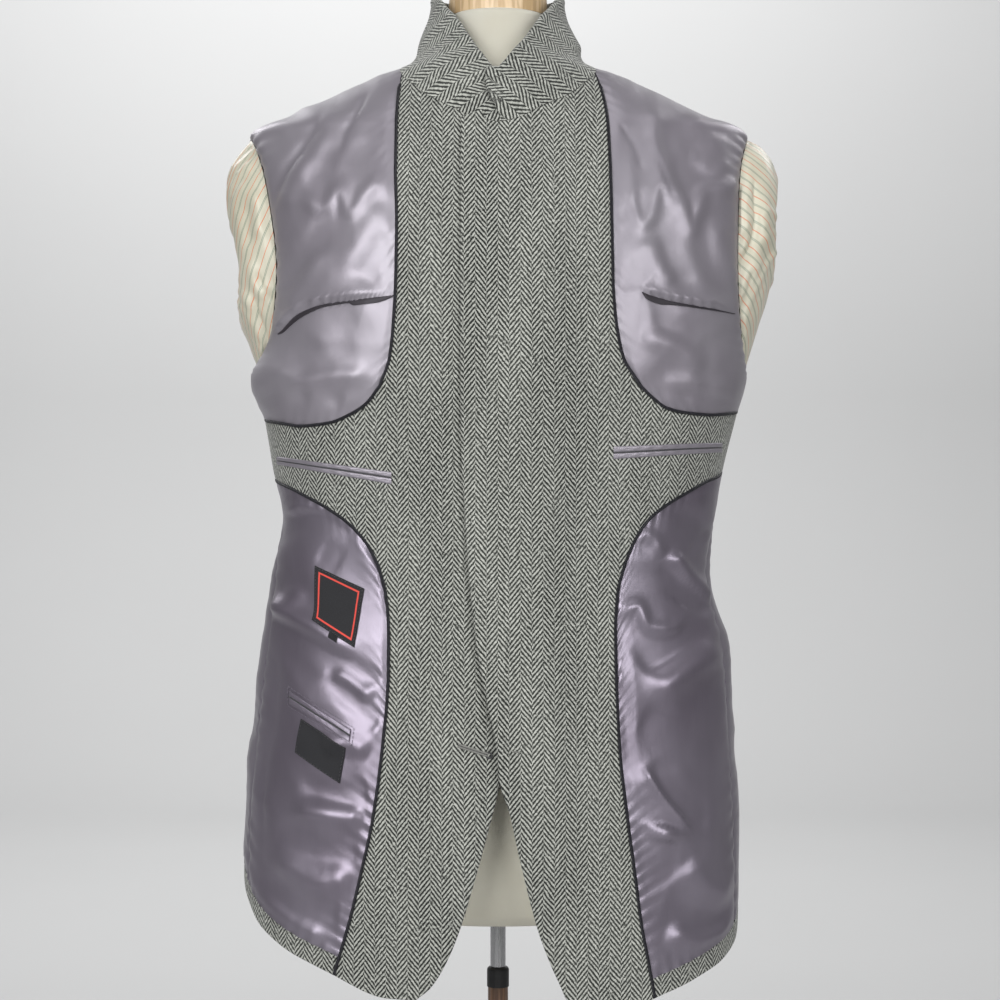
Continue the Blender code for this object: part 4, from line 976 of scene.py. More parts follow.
# Strokes by piece: kind, width, height and (x, z) points, all in millimetres. The strokes of the
# front's satin follow the photo's highlights and shadows, and those of the back are guessed.
STROKES = {
    "chest_lining_left": (
        ("ridge", 7, 2.0, ((-198, 1342), (-164, 1334), (-148, 1327), (-135, 1341), (-124, 1322),
         (-104, 1344), (-90, 1340))),
        ("crease", 5, -1.8, ((-113, 1433), (-123, 1409), (-133, 1392), (-138, 1372))),
        ("crease", 6, -2.2, ((-151, 1417), (-170, 1382), (-189, 1357), (-199, 1334))),
        ("crease", 6, -1.8, ((-165, 1384), (-184, 1365), (-193, 1341), (-200, 1322))),
        ("ridge", 9, 1.8, ((-140, 1405), (-158, 1375), (-176, 1350), (-186, 1325))),
        ("ridge", 12, -2.6, ((-135, 1328), (-152, 1302), (-164, 1281), (-184, 1234))),
        ("ridge", 9, 2.6, ((-147, 1296), (-169, 1262), (-180, 1241))),
        ("ridge", 12, 1.8, ((-100, 1330), (-112, 1300), (-132, 1268))),
        ("ridge", 16, -1.6, ((-92, 1305), (-104, 1278), (-118, 1258))),
        ("tuck", 9, 4.6, ((-190, 1222), (-186, 1226), (-175, 1237), (-156, 1245), (-123, 1248),
         (-90, 1251))),
        ("ridge", 7, 2.0, ((-195, 1180), (-183, 1187), (-168, 1178), (-147, 1181), (-123, 1182),
         (-112, 1192))),
        ("ridge", 11, -1.4, ((-180, 1205), (-150, 1200), (-120, 1212))),
        ("ridge", 7, -2.0, ((-197, 1169),)),
        ("ridge", 6, -1.6, ((-167, 1166),)),
        ("ridge", 6, -1.3, ((-140, 1163),)),
    ),
    "chest_lining_right": (
        ("ridge", 7, 2.4, ((139, 1423), (135, 1392), (140, 1361), (158, 1327), (166, 1309),
         (170, 1321), (177, 1344), (206, 1350), (215, 1343))),
        ("ridge", 6, 1.8, ((112, 1376), (113, 1334), (121, 1311), (129, 1317), (138, 1346),
         (158, 1316))),
        ("crease", 5, -2.0, ((105, 1399), (119, 1378), (124, 1358))),
        ("crease", 5, -2.0, ((136, 1373), (144, 1348), (154, 1328))),
        ("ridge", 12, -2.2, ((160, 1420), (156, 1390), (165, 1355), (176, 1368))),
        ("ridge", 12, 1.8, ((190, 1400), (188, 1375), (198, 1360))),
        ("ridge", 10, -2.0, ((141, 1319), (147, 1286), (168, 1255))),
        ("ridge", 10, 2.0, ((128, 1300), (134, 1275), (150, 1258))),
        ("ridge", 11, -2.2, ((173, 1330), (179, 1288), (201, 1250))),
        ("ridge", 9, 1.8, ((187, 1320), (192, 1290), (206, 1262))),
        ("crease", 4, -0.8, ((99, 1250), (112, 1252), (127, 1254))),
        ("tuck", 9, 4.6, ((124, 1255), (127, 1253), (143, 1249), (168, 1245), (207, 1241))),
        ("ridge", 9, 2.2, ((119, 1216), (137, 1211), (155, 1203), (176, 1186))),
        ("ridge", 10, -1.8, ((128, 1230), (160, 1222), (190, 1204))),
        ("crease", 4, -1.4, ((147, 1168), (178, 1165), (209, 1161))),
        ("ridge", 6, 1.4, ((140, 1178), (172, 1176), (200, 1172))),
    ),
    "skirt_lining_left": (
        ("ridge", 8, -2.8, ((-188, 1043), (-171, 1057), (-146, 1058), (-116, 1044))),
        ("ridge", 8, 1.8, ((-186, 1060), (-165, 1071), (-140, 1069))),
        ("ridge", 8, -2.2, ((-154, 1031), (-134, 1020))),
        ("ridge", 9, -3.0, ((-195, 1046),)),
        ("ridge", 9, -2.6, ((-212, 976), (-182, 962), (-153, 946), (-118, 925), (-96, 912))),
        ("ridge", 9, 2.4, ((-210, 988), (-180, 975), (-152, 960), (-120, 940))),
        ("ridge", 9, 1.6, ((-170, 1000), (-180, 985), (-196, 972))),
        ("crease", 4, -1.3, ((-193, 945), (-192, 912), (-196, 872), (-203, 839), (-204, 794),
         (-204, 751))),
        ("ridge", 10, 1.8, ((-104, 905), (-120, 920), (-142, 930))),
        ("ridge", 8, -1.8, ((-100, 880), (-118, 898), (-150, 925))),
        ("ridge", 9, 1.8, ((-108, 858), (-128, 868), (-150, 862))),
        ("ridge", 10, -1.8, ((-108, 828), (-130, 820), (-172, 830))),
        ("ridge", 10, 2.2, ((-113, 802), (-138, 806), (-178, 808))),
        ("ridge", 12, -2.0, ((-116, 780), (-140, 776), (-190, 792))),
        ("ridge", 12, 2.2, ((-122, 752), (-150, 748), (-196, 768))),
        ("ridge", 14, -1.8, ((-130, 720), (-160, 722), (-204, 748))),
        ("ridge", 10, 1.6, ((-150, 695), (-176, 710), (-208, 730))),
    ),
    "skirt_lining_right": (
        ("ridge", 7, 2.6, ((147, 1031), (163, 1009), (191, 981))),
        ("ridge", 7, -2.0, ((140, 1020), (158, 998), (184, 972))),
        ("ridge", 5, 1.8, ((102, 979), (118, 983), (127, 966), (146, 962), (164, 971))),
        ("ridge", 6, 2.0, ((118, 1040), (123, 1046), (134, 1040), (141, 1025))),
        ("ridge", 14, -2.6, ((163, 1043), (168, 1046), (178, 1036))),
        ("ridge", 13, -2.4, ((163, 990), (158, 982))),
        ("ridge", 14, 2.8, ((128, 905), (151, 921), (172, 934), (192, 948))),
        ("ridge", 12, -2.2, ((120, 930), (140, 942), (160, 955), (182, 962))),
        ("ridge", 15, -3.0, ((120, 886), (150, 872), (180, 846), (210, 824))),
        ("crease", 7, 2.6, ((122, 848), (137, 824), (168, 786))),
        ("ridge", 10, -2.2, ((132, 852), (150, 824), (182, 792))),
        ("ridge", 16, 2.6, ((143, 796), (139, 782))),
        ("ridge", 13, -2.0, ((118, 800), (124, 770), (142, 742))),
        ("ridge", 13, 2.0, ((160, 765), (178, 742), (204, 728))),
        ("ridge", 13, -1.8, ((140, 728), (168, 716), (200, 706))),
        ("ridge", 10, 1.8, ((142, 706), (170, 696), (206, 692))),
        ("crease", 4, -1.3, ((192, 977), (196, 945), (209, 872), (216, 821), (209, 760))),
    ),
    "back_lining_left": (
        ("ridge", 14, 2.4, ((-180, 1330), (-130, 1300), (-70, 1290))),
        ("ridge", 14, -2.4, ((-185, 1290), (-130, 1262), (-60, 1256))),
        ("ridge", 16, 2.2, ((-200, 1200), (-150, 1180), (-80, 1190))),
        ("ridge", 12, -2.0, ((-205, 1160), (-150, 1145), (-90, 1160))),
        ("ridge", 12, 2.6, ((-190, 1090), (-140, 1060), (-60, 1056))),
        ("ridge", 12, -2.6, ((-188, 1055), (-140, 1035), (-50, 1040))),
        ("ridge", 18, 2.4, ((-210, 960), (-150, 900), (-90, 880))),
        ("ridge", 18, -2.4, ((-215, 900), (-160, 850), (-80, 820))),
        ("ridge", 20, 2.2, ((-150, 790), (-120, 740), (-112, 690))),
        ("ridge", 18, -2.2, ((-60, 900), (-52, 820), (-64, 720))),
        ("ridge", 8, 1.6, ((-100, 1400), (-60, 1390), (-30, 1402))),
    ),
    "back_lining_right": (
        ("ridge", 14, 2.2, ((178, 1345), (120, 1310), (66, 1316))),
        ("ridge", 14, -2.2, ((190, 1300), (140, 1276), (74, 1280))),
        ("ridge", 14, 2.4, ((205, 1215), (150, 1196), (100, 1206))),
        ("ridge", 14, -2.0, ((208, 1170), (160, 1150), (100, 1150))),
        ("ridge", 11, 2.6, ((180, 1078), (130, 1066), (70, 1072))),
        ("ridge", 12, -2.6, ((184, 1048), (130, 1030), (70, 1044))),
        ("ridge", 18, 2.4, ((200, 940), (160, 890), (90, 860))),
        ("ridge", 16, -2.4, ((205, 880), (150, 820), (110, 800))),
        ("ridge", 20, 2.2, ((140, 770), (128, 720), (140, 680))),
        ("ridge", 18, -2.2, ((70, 880), (58, 800), (66, 700))),
        ("ridge", 8, 1.6, ((96, 1404), (70, 1396), (34, 1408))),
    ),
    "facing_left": (
        ("ridge", 8, -2.4, ((-41, 1400), (-40, 1330), (-41, 1260), (-42, 1211))),
        ("ridge", 12, 1.8, ((-58, 1400), (-57, 1330), (-58, 1260), (-62, 1180))),
        ("ridge", 14, -1.5, ((-47, 1112), (-56, 1070), (-69, 1029))),
        ("ridge", 12, 1.2, ((-70, 1120), (-84, 1080), (-92, 1050))),
        ("ridge", 16, -2.2, ((-40, 960), (-44, 920), (-50, 870))),
    ),
    "facing_right": (
        ("ridge", 18, 1.0, ((40, 1380), (36, 1300), (30, 1200))),
        ("ridge", 16, -1.0, ((70, 1360), (66, 1280), (62, 1200))),
        ("ridge", 14, 1.2, ((4, 900), (8, 860), (14, 820))),
        ("ridge", 16, -1.0, ((60, 1150), (70, 1100), (76, 1060))),
    ),
}

# Small uneven crumples all over a piece: height, shortest and longest wave, main direction in
# degrees, and the seed of their draws.
CRUMPLES = {
    "chest_lining_left": (0.00055, 0.026, 0.075, 35.0, 3),
    "chest_lining_right": (0.00055, 0.026, 0.075, 150.0, 5),
    "skirt_lining_left": (0.0008, 0.034, 0.110, 70.0, 7),
    "skirt_lining_right": (0.0009, 0.034, 0.110, 55.0, 11),
    "back_lining_left": (0.0009, 0.034, 0.110, 70.0, 13),
    "back_lining_right": (0.0009, 0.034, 0.110, 110.0, 17),
    "facing_left": (0.0003, 0.040, 0.120, 20.0, 19),
    "facing_right": (0.0003, 0.040, 0.120, 160.0, 23),
}


# How much larger a piece's folds are than its strokes say, and how far a lining hangs clear.
FOLD_SIZE = {
    "chest_lining_left": 1.25, "chest_lining_right": 1.25, "skirt_lining_left": 1.9,
    "skirt_lining_right": 2.1, "back_lining_left": 1.4, "back_lining_right": 1.4,
}
LOOSE = 0.0014


CRUMPLE_WAVES = 9
CRUMPLE_LENGTH = 2.7


def crumple_lift(name, x, z):
    """A sum of bent waves with soft ridges, the same on every run."""
    if name not in CRUMPLES:
        return 0.0
    height, shortest, longest, direction, seed = CRUMPLES[name]
    dice = np.random.default_rng(seed)
    bend_x = 0.012 * np.sin(x * 41 + seed) * np.cos(z * 33 + seed)
    bend_z = 0.012 * np.sin(z * 37 - seed) * np.cos(x * 29 + 2 * seed)
    total = np.zeros(np.shape(x))
    for i in range(CRUMPLE_WAVES):
        wave = shortest * (longest / shortest) ** (i / (CRUMPLE_WAVES - 1))
        turn = np.radians(direction + dice.uniform(-55, 55))
        place = ((x + bend_x) * np.cos(turn) + (z + bend_z) * np.sin(turn)) / wave
        beside = (z * np.cos(turn) - x * np.sin(turn)) / (CRUMPLE_LENGTH * wave)
        swell = 0.5 + 0.5 * np.sin(2 * pi * beside + dice.uniform(0, 6))
        crest = 1 - 2 * np.abs(np.sin(pi * place + dice.uniform(0, 6)))
        total += crest * swell * (wave / longest) ** 0.8
    return height * total


def lap_lift(side, point):
    """The right front's lift over the left one."""
    if side < 0:
        return np.zeros(point.shape[:-1])
    share = 1 - smooth_step((point[..., 0] - LAP_FULL) / (LAP_ENDS - LAP_FULL))
    return np.where(point[..., 1] < 0, LAP_LIFT(point[..., 2]) * share, 0.0)


def piece_lift(name, side, point):
    """How far this piece's folds, crumples and overlap lift it at these points."""
    x, z = point[..., 0], point[..., 2]
    lift = crumple_lift(name, x, z)
    more = FOLD_SIZE.get(name, 1.0)
    for kind, width, height, points in STROKES.get(name, ()):
        lift = lift + more * stroke_lift(kind, width, height, points, x, z)
    if "lining" in name:
        lift = lift + LOOSE
    if name.startswith("facing"):
        lift = lift + lap_lift(side, point)
    return lift


LOWEST_LIFT = -0.0014
# The lining bags out under each armhole: how far, and how wide up and down.
BAG = {-1: (0.0058, 0.018), 1: (0.0014, 0.016)}
BAG_HEIGHT = 1.184


def bag_lift(side, point):
    height, width = BAG[side]
    near_side = smooth_step((np.abs(point[..., 0]) - 0.175) / 0.035)
    return height * near_side * np.exp(-(((point[..., 2] - BAG_HEIGHT) / width) ** 2))


def kept_above(lift):
    """Bends the lift so that no trough sinks into the layer below."""
    return np.where(lift < 0, LOWEST_LIFT * (1 - np.exp(lift / -LOWEST_LIFT)), lift)


def puckers(distance, along, reach, height, wave, seed):
    """Small gathers that a seam's stitches pull: strongest at the seam."""
    dice = np.random.default_rng(seed)
    phase = 2 * pi * along / wave
    for _ in range(3):
        size, slower = dice.uniform(0.5, 1.1), dice.uniform(1.5, 3.5)
        phase = phase + size * np.sin(along / wave / slower + dice.uniform(0, 6))
    strength = 0.55 + 0.45 * np.sin(along * dice.uniform(30, 60) + dice.uniform(0, 6))
    return height * strength * np.exp(-distance / reach) * (np.cos(phase) - 0.3)


def seam_dip(distance, depth=0.0011, width=0.0022):
    return -depth * np.exp(-((distance / width) ** 2))


def round_edge(distance, radius=0.0014):
    """How far a rounded edge falls away at this distance from the rim."""
    inside = np.clip(radius - distance, 0, radius)
    return radius - np.sqrt(radius**2 - inside**2)

# ------------------------------------------------------------------ the coat's panels

BEND_STEPS = 46
LOWER_STEPS = 104
UPPER_STEPS = 66
NECK_STEPS = 30
ACROSS_FACING = 34
EDGE_SHARES = (0.0, 0.004, 0.009, 0.016, 0.028)
HEM_ROWS = (0.0, 0.0005, 0.0011, 0.0020, 0.0035, 0.0060, 0.0100, 0.0140, 0.0180)


def with_edge(shares):
    return np.concatenate([EDGE_SHARES, shares[shares > 0.04]])


def facing_grids(side):
    rows = joined(
        HEM + np.array(HEM_ROWS), np.linspace(LINING_HEM, LOWER_BEND, LOWER_STEPS + 1),
        np.linspace(LOWER_BEND, UPPER_BEND, BEND_STEPS + 1),
        np.linspace(UPPER_BEND, NECK_TOP, UPPER_STEPS + 1),
    )
    inner = edge_run(side, rows, NECK_STEPS)
    hem = edge_station(LOWER, side, HEM + np.array(HEM_ROWS))
    root = band_root(side, BEND_STEPS)
    upper = upper_run(side, UPPER_STEPS, NECK_STEPS)
    outer = joined(hem, lower_run(side, LOWER_STEPS), root, upper)
    shares = with_edge(np.linspace(0, 1, ACROSS_FACING + 1))
    seam = line((SIDE, BAND_SIDE[side][1]), (SIDE, BAND_SIDE[side][0]), BEND_STEPS)
    band = four_sided(root, seam, band_run(side, False, 32), band_run(side, True, 32))
    return [grid_on(side, strip(inner, outer, shares)), grid_on(side, band)]


def chest_grid(side):
    left = joined(upper_run(side, UPPER_STEPS, NECK_STEPS), np.array([(0, 0), (SIDE, NECK_POINT)]))
    steps = len(left) - 1
    seam_steps = 12
    seam = line((SIDE, BAND_SIDE[side][0]), (SIDE, ARMHOLE_BOTTOM), seam_steps)
    right = joined(seam, armhole_run(side, steps - seam_steps, False))
    top = line((SIDE, NECK_POINT), (SIDE, ARMHOLE_TOP), 44)
    return grid_on(side, four_sided(left, right, band_run(side, True, 44), top))


def skirt_grid(side):
    left, right = lower_run(side, 124), skirt_seam_run(side, 124)
    bottom, top = line(left[0], right[0], 46), band_run(side, False, 46)
    return grid_on(side, four_sided(left, right, bottom, top))


def back_grid(side, steps=1.0):
    def count(number):
        return max(2, round(number * steps))

    seam = joined(
        skirt_seam_run(side, count(100)),
        line((SIDE, BAND_SIDE[side][1]), (SIDE, BAND_SIDE[side][0]), count(14)),
        line((SIDE, BAND_SIDE[side][0]), (SIDE, ARMHOLE_BOTTOM), count(10)),
    )
    armhole = armhole_run(side, count(64), True)
    shoulder = line((SIDE, ARMHOLE_TOP), (SIDE, NECK_POINT), count(26))
    rows = joined(seam[:, 1:], line((ARMHOLE_BOTTOM,), (BACK_YOKE,), count(64)),
                  line((BACK_YOKE,), (NECK_POINT,), count(26)))
    centre = np.concatenate([np.full_like(rows, 180.0), rows], axis=1)
    shares = np.linspace(0, 1, count(62) + 1) ** 1.2
    return grid_on(side, strip(joined(seam, armhole, shoulder), centre, shares))


def front_hem_grid(side):
    rows = HEM + np.array(HEM_ROWS)
    inner = edge_station(LOWER, side, rows)
    outer = np.stack([np.full_like(rows, SKIRT_SEAM), rows], -1)
    return grid_on(side, strip(inner, outer, np.linspace(0, 1, 47)))


def back_hem_grid(side):
    rows = HEM + np.array(HEM_ROWS)
    first = np.stack([np.full_like(rows, SKIRT_SEAM), rows], -1)
    last = np.stack([np.full_like(rows, 180.0), rows], -1)
    return grid_on(side, strip(first, last, np.linspace(0, 1, 90)))


def set_wall(grid, low, high, lift=0.0):
    """Gives the grid its inner and outer points, at these distances out from its own points."""
    outward = grid["outward"]
    flat = np.zeros(outward.shape[:-1])
    grid["inner"] = grid["point"] + outward * (flat + low + lift)[..., None]
    grid["outer"] = grid["point"] + outward * (flat + high + lift)[..., None]
    return grid


def layer(point, outward, uv, low, high):
    """A grid of cloth from its points, at these distances out from them."""
    return set_wall({"point": point, "outward": outward, "uv": uv}, low, high)


FOLDED_IN = 0.0050


def turned_edge(distance):
    """How far in and out a panel reaches, this far from a rim that is turned over and rounded."""
    low = LINING_OUT * smooth_step((distance - FOLDED_IN) / 0.002) + 0.00002
    return low, SURFACE - round_edge(distance)


def sew(node, grids, material, slot, *rests_on):
    """Puts a piece of cloth in the place of its node."""
    obj = wall(f"{node}_cloth", grids, material)
    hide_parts(node)


# The facing's front edge is a little thicker: how much, and how far in from the rim.
EDGE_SWELL = 0.0007
EDGE_SWELL_PLACE = 0.004


def make_facing(side):
    where = SIDE_NAME[side]
    panel, band = facing_grids(side)
    for grid in (panel, band):
        lapped = lap_lift(side, grid["point"])
        lift = kept_above(piece_lift(f"facing_{where}", side, grid["point"]) - lapped) + lapped
        if grid is panel:
            rim = np.minimum(grid["from_first"], grid["from_bottom"])
            from_swell = (grid["from_first"] - EDGE_SWELL_PLACE) / EDGE_SWELL_PLACE
            lift = lift + EDGE_SWELL * np.exp(-from_swell**2)
        else:
            rim = np.full(lift.shape, 1.0)
            lift = lift + seam_dip(grid["to_last"])
        set_wall(grid, *turned_edge(rim), lift)
    sew(f"facing_{where}", [panel, band], TWEED, "tweed", f"front_{where}")


# Each lining's grid, satin, sewn seams and gathers. Seams and gathers are named by the grid's
# distance from that edge, and a gather has its reach, height and wavelength.
LININGS = {
    "chest": (chest_grid, SATIN_UPPER_LIT, ("to_last",), (
        ("from_first", 0.010, 0.0006, 0.011),
        ("to_last", 0.012, 0.0010, 0.013),
        ("from_bottom", 0.009, 0.0007, 0.012),
    )),
    "skirt": (skirt_grid, SATIN_LOWER_SHADED, ("to_last",), (
        ("from_first", 0.011, 0.0010, 0.0105),
        ("to_last", 0.011, 0.0009, 0.017),
        ("to_top", 0.009, 0.0008, 0.012),
        ("from_bottom", 0.008, 0.0007, 0.014),
    )),
    "back": (back_grid, SATIN_BACK, ("from_first", "to_last"), (
        ("from_first", 0.011, 0.0009, 0.015),
        ("to_last", 0.007, 0.0006, 0.016),
        ("from_bottom", 0.008, 0.0008, 0.014),
    )),
}
ALONG = {
    "from_first": "along_first", "to_last": "along_last",
    "from_bottom": "from_first", "to_top": "from_first",
}
FLAT_RIM = 0.012


def make_linings(side):
    """The satin panels, with their folds and the gathers along their seams."""
    where = SIDE_NAME[side]
    for kind, (grid_of, material, seams, gathers) in LININGS.items():
        name = f"{kind}_lining_{where}"
        grid = grid_of(side)
        lift = kept_above(piece_lift(name, side, grid["point"]))
        rims = [grid[rim] for rim in ("from_first", "to_last", "from_bottom", "to_top")]
        lift = lift * smooth_step(np.minimum.reduce(rims) / FLAT_RIM)
        for number, (edge, reach, height, wave) in enumerate(gathers):
            seed = len(name) * 7 + number
            lift = lift + puckers(grid[edge], grid[ALONG[edge]], reach, height, wave, seed)
        lift = np.maximum(lift, LOWEST_LIFT)
        for edge in seams:
            lift = np.maximum(lift + seam_dip(grid[edge]), LOWEST_LIFT - 0.0003)
        if kind != "skirt":
            lift = lift + bag_lift(side, grid["point"])
        set_wall(grid, LINING_OUT, SURFACE, lift)
        shell = f"back_{where}" if kind == "back" else f"front_{where}"
        sew(name, [grid], material, "lining_satin", shell)


def make_hems(side):
    for part, grid_of in (("front", front_hem_grid), ("back", back_hem_grid)):
        grid = grid_of(side)
        waves = 0.0002 * np.sin(grid["uv"][..., 0] * 160)
        set_wall(grid, *turned_edge(grid["from_bottom"]), waves)
        node = f"{part}_{SIDE_NAME[side]}"
        sew(f"hem_{node}", [grid], TWEED, "tweed", node)


SHELL_INSET = 0.0048
# The shell's inset as an angle is taken at this distance from the centre line.
INSET_RADIUS = 0.13


def make_shell(side):
    """The coat's own cloth, whose face turns inwards: plain behind the linings, and open below."""
    where = SIDE_NAME[side]
    seam_top = BAND_SIDE[side][1]
    rows = np.concatenate([HEM + np.array([SHELL_INSET, 0.018]), np.linspace(0.70, NECK_TOP, 90)])
    inner = edge_run(side, rows, 8)
    inner[:, 0] += np.degrees(SHELL_INSET / INSET_RADIUS)
    seam = skirt_seam_at(side, rows[rows < seam_top])
    straight = rows[(rows >= seam_top) & (rows < ARMHOLE_BOTTOM)]
    straight = np.stack([np.full_like(straight, SIDE), straight], -1)
    armhole = armhole_run(side, len(inner) - len(seam) - len(straight) - 4, False)
    tip = line((SIDE, ARMHOLE_TOP), (SIDE, NECK_POINT), 4)[1:]
    outer = np.concatenate([seam, straight, armhole, tip])[:len(inner)]
    grid = grid_on(side, strip(inner, outer, np.linspace(0, 1, 42)))
    set_wall(grid, 0.0, SHELL_THICK, lap_lift(side, grid["point"]))
    sew(f"front_{where}", [grid], TWEED, "tweed", "form_torso")
    back, hem = back_grid(side, 0.45), back_hem_grid(side)
    # Of the hem's rows the shell keeps the one that is clear of the turn-up's edge, and the last.
    lower = {key: value[[5, 8]] for key, value in hem.items() if isinstance(value, np.ndarray)}
    grids = [set_wall(piece, 0.0, SHELL_THICK) for piece in (back, lower)]
    sew(f"back_{where}", grids, TWEED, "tweed", "form_torso")


# ------------------------------------------------------------------ cords, seams and stitches

def ring_quads(index):
    """The faces between rows of point numbers, where each row runs round and closes."""
    after = np.roll(index, -1, axis=1)
    return np.stack([index[:-1], after[:-1], after[1:], index[1:]], -1).reshape(-1, 4)


def tube(path, run, up, size, ring, first=0):
    """The points round a path, size away from it, and their faces, with both ends closed."""
    turn = 2 * pi * np.arange(ring) / ring
    across = np.cross(run, up)
    points = path[:, None] + size * (
        np.cos(turn)[None, :, None] * up[:, None] + np.sin(turn)[None, :, None] * across[:, None]
    )
    index = first + np.arange(len(path) * ring).reshape(len(path), ring)
    faces = ring_quads(index)[:, ::-1].tolist() + [index[0].tolist(), index[-1][::-1].tolist()]
    return points.reshape(-1, 3), faces


# How much a twisted cord's radius swells and shrinks, as a share.
TWIST_DEPTH = 0.07


def ring_sweep(name, path, outward, radius, material, ring, twist=0.0):
    """A round cord along a path of points. Twist is the length of a cable's lay."""
    run = np.gradient(path, axis=0)
    run = run / np.linalg.norm(run, axis=1, keepdims=True)
    up = outward - run * np.sum(outward * run, axis=1, keepdims=True)
    up = up / np.linalg.norm(up, axis=1, keepdims=True)
    length = lengths(path[:, None], 0)
    turn = 2 * pi * np.arange(ring) / ring
    size = np.full((len(path), ring), radius)
    if twist:
        size = radius * (1 + TWIST_DEPTH * np.sin(2 * turn + 2 * pi * length / twist))
    points, faces = tube(path, run, up, size[..., None], ring)
    uv = np.stack(np.broadcast_arrays(turn * radius, length), -1).reshape(-1, 2)
    obj = mesh_object(name, points, faces, uv, material)
    return obj


def evenly(path, step):
    """The path's points again, at an even step along it. Columns after the third ride along."""
    length = lengths(path[:, None, :3], 0)[:, 0]
    at = np.linspace(0, length[-1], max(2, round(length[-1] / step)) + 1)
    return np.stack([np.interp(at, length, path[:, k]) for k in range(path.shape[1])], -1)


PIPING_SHOWN = 0.00135
PIPING_OUT = 0.0008
PIPING_STEP = 0.0012
# The piping sinks into the side seam, and above this height into the neck seam.
PIPING_SIDE_TUCK = 0.0027
PIPING_NECK_TUCK = 0.0020
PIPING_HIDDEN_FROM = 1.432


def make_piping(side):
    where = SIDE_NAME[side]
    upper = joined(band_run(side, True, 60)[::-1], upper_run(side, 140, 40)[:-8])
    lower = joined(edge_station(LOWER, side, HEM + np.linspace(0.0015, 0.018, 10)),
                   lower_run(side, 200), band_run(side, False, 60))
    for name, run in ((f"piping_upper_{where}", upper), (f"piping_lower_{where}", lower)):
        reach, row = run[:, 0], run[:, 1]
        place = [surface_point(side, reach, row), outward_at(side, reach, row), run[:, :1]]
        place = evenly(np.concatenate(place, axis=1), PIPING_STEP)
        path, outward, reach = place[:, :3], place[:, 3:6], place[:, 6]
        length = np.arange(len(path)) * PIPING_STEP
        wander = 0.00018 * np.sin(length / 0.013) + 0.00012 * np.sin(length / 0.0047)
        tuck = PIPING_SIDE_TUCK * smooth_step((reach - SIDE + 14) / 12)
        if "upper" in name:
            tuck = tuck + PIPING_NECK_TUCK * smooth_step((path[:, 2] - PIPING_HIDDEN_FROM) / 0.008)
        path = path + outward * (SURFACE + PIPING_OUT + wander - tuck)[:, None]
        obj = ring_sweep(f"{name}_cord", path, outward, PIPING_SHOWN, CORD, 12)
        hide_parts(name)


def on_panel(side, piece, x, z, out):
    """The point that far outside the named panel's own face, at this x and height."""
    x, z = np.asarray(x, float), np.asarray(z, float)
    reach = reach_at(side, side * x, z)
    row = row_at(side, reach, z)
    point = surface_point(side, reach, row)
    lift = piece_lift(piece, side, point)
    lift = kept_above(lift) if not piece.startswith("facing") else lift
    outward = outward_at(side, reach, row)
    return point + outward * (SURFACE + lift + out)[..., None], outward


def panel_cord(name, side, piece, spots, out, radius, material, ring, twist=0.0):
    """A cord along these (x, z) spots, this far outside the panel's face."""
    path, outward = on_panel(side, piece, spots[:, 0], spots[:, 1], out)
    ring_sweep(name, path, outward, radius, material, ring, twist)


STITCH_RING = 6
STITCH_ROWS = 5


def stitches(name, side, piece, points, stitch, gap, radius, material, out, zigzag=0.0):
    """A row of short threads along (x, z) points in metres, each a little arch on the panel."""
    path = evenly(np.array(points, float), (stitch + gap) / 2)
    all_points, all_faces = [], []
    share = np.linspace(0, 1, STITCH_ROWS)
    for number in range(0, len(path) - 1, 2):
        start = path[number]
        step = path[number + 1] - start
        step = step / np.hypot(*step)
        aside = np.array([-step[1], step[0]]) * zigzag * (1 if number % 4 else -1)
        spots = start + step * share[:, None] * stitch + aside * (share[:, None] - 0.5) * 2
        middle, outward = on_panel(side, piece, spots[:, 0], spots[:, 1], out)
        middle = middle + outward * (radius * 1.3 * np.sin(pi * share) - radius * 0.6)[:, None]
        run = np.gradient(middle, axis=0)
        run /= np.linalg.norm(run, axis=1, keepdims=True)
        ring, faces = tube(middle, run, outward, radius, STITCH_RING, len(all_points))
        all_points += ring.tolist()
        all_faces += faces
    obj = mesh_object(name, all_points, all_faces, np.zeros((len(all_points), 2)), material)


# ------------------------------------------------------------------ welts, labels, buttonhole

def panel_patch(side, piece, corners, columns, rows):
    """A grid of points on a panel inside four (x, z) corners, with 0 to 1 coordinates."""
    top_left, top_right, low_right, low_left = (np.array(corner) for corner in corners)
    u, v = np.meshgrid(np.linspace(0, 1, columns + 1), np.linspace(0, 1, rows + 1))
    low = low_left + (low_right - low_left) * u[..., None]
    top = top_left + (top_right - top_left) * u[..., None]
    place = low + (top - low) * v[..., None]
    return *on_panel(side, piece, place[..., 0], place[..., 1], 0.0), u, v


# Painted shade under the chest's tucks: dark crescents given by points (x, z) along the lip,
# and how far each reaches below it, all in millimetres.
TUCK_SHADES = (
    ("tuck_mouth_left", -1, "chest_lining_left", (
        (-189, 1220.4, 0.6), (-184, 1225.6, 3.6), (-175, 1234.0, 5.0), (-162, 1240.0, 3.8),
        (-148, 1243.4, 2.2), (-128, 1245.4, 1.8), (-121, 1246.0, 4.6), (-104, 1247.6, 4.8),
        (-93, 1248.6, 2.8), (-88, 1249.0, 0.6),
    )),
    ("tuck_mouth_right", 1, "chest_lining_right", (
        (122, 1252.6, 0.6), (127, 1250.6, 4.6), (137, 1248.0, 5.4), (147, 1245.6, 3.2),
        (160, 1243.6, 2.0), (178, 1241.6, 1.6), (204, 1239.0, 0.6),
    )),
)
TUCK_SHADE_LOW, TUCK_SHADE_HIGH, TUCK_SHADE_SWELL = -0.0004, 0.0011, 0.0003


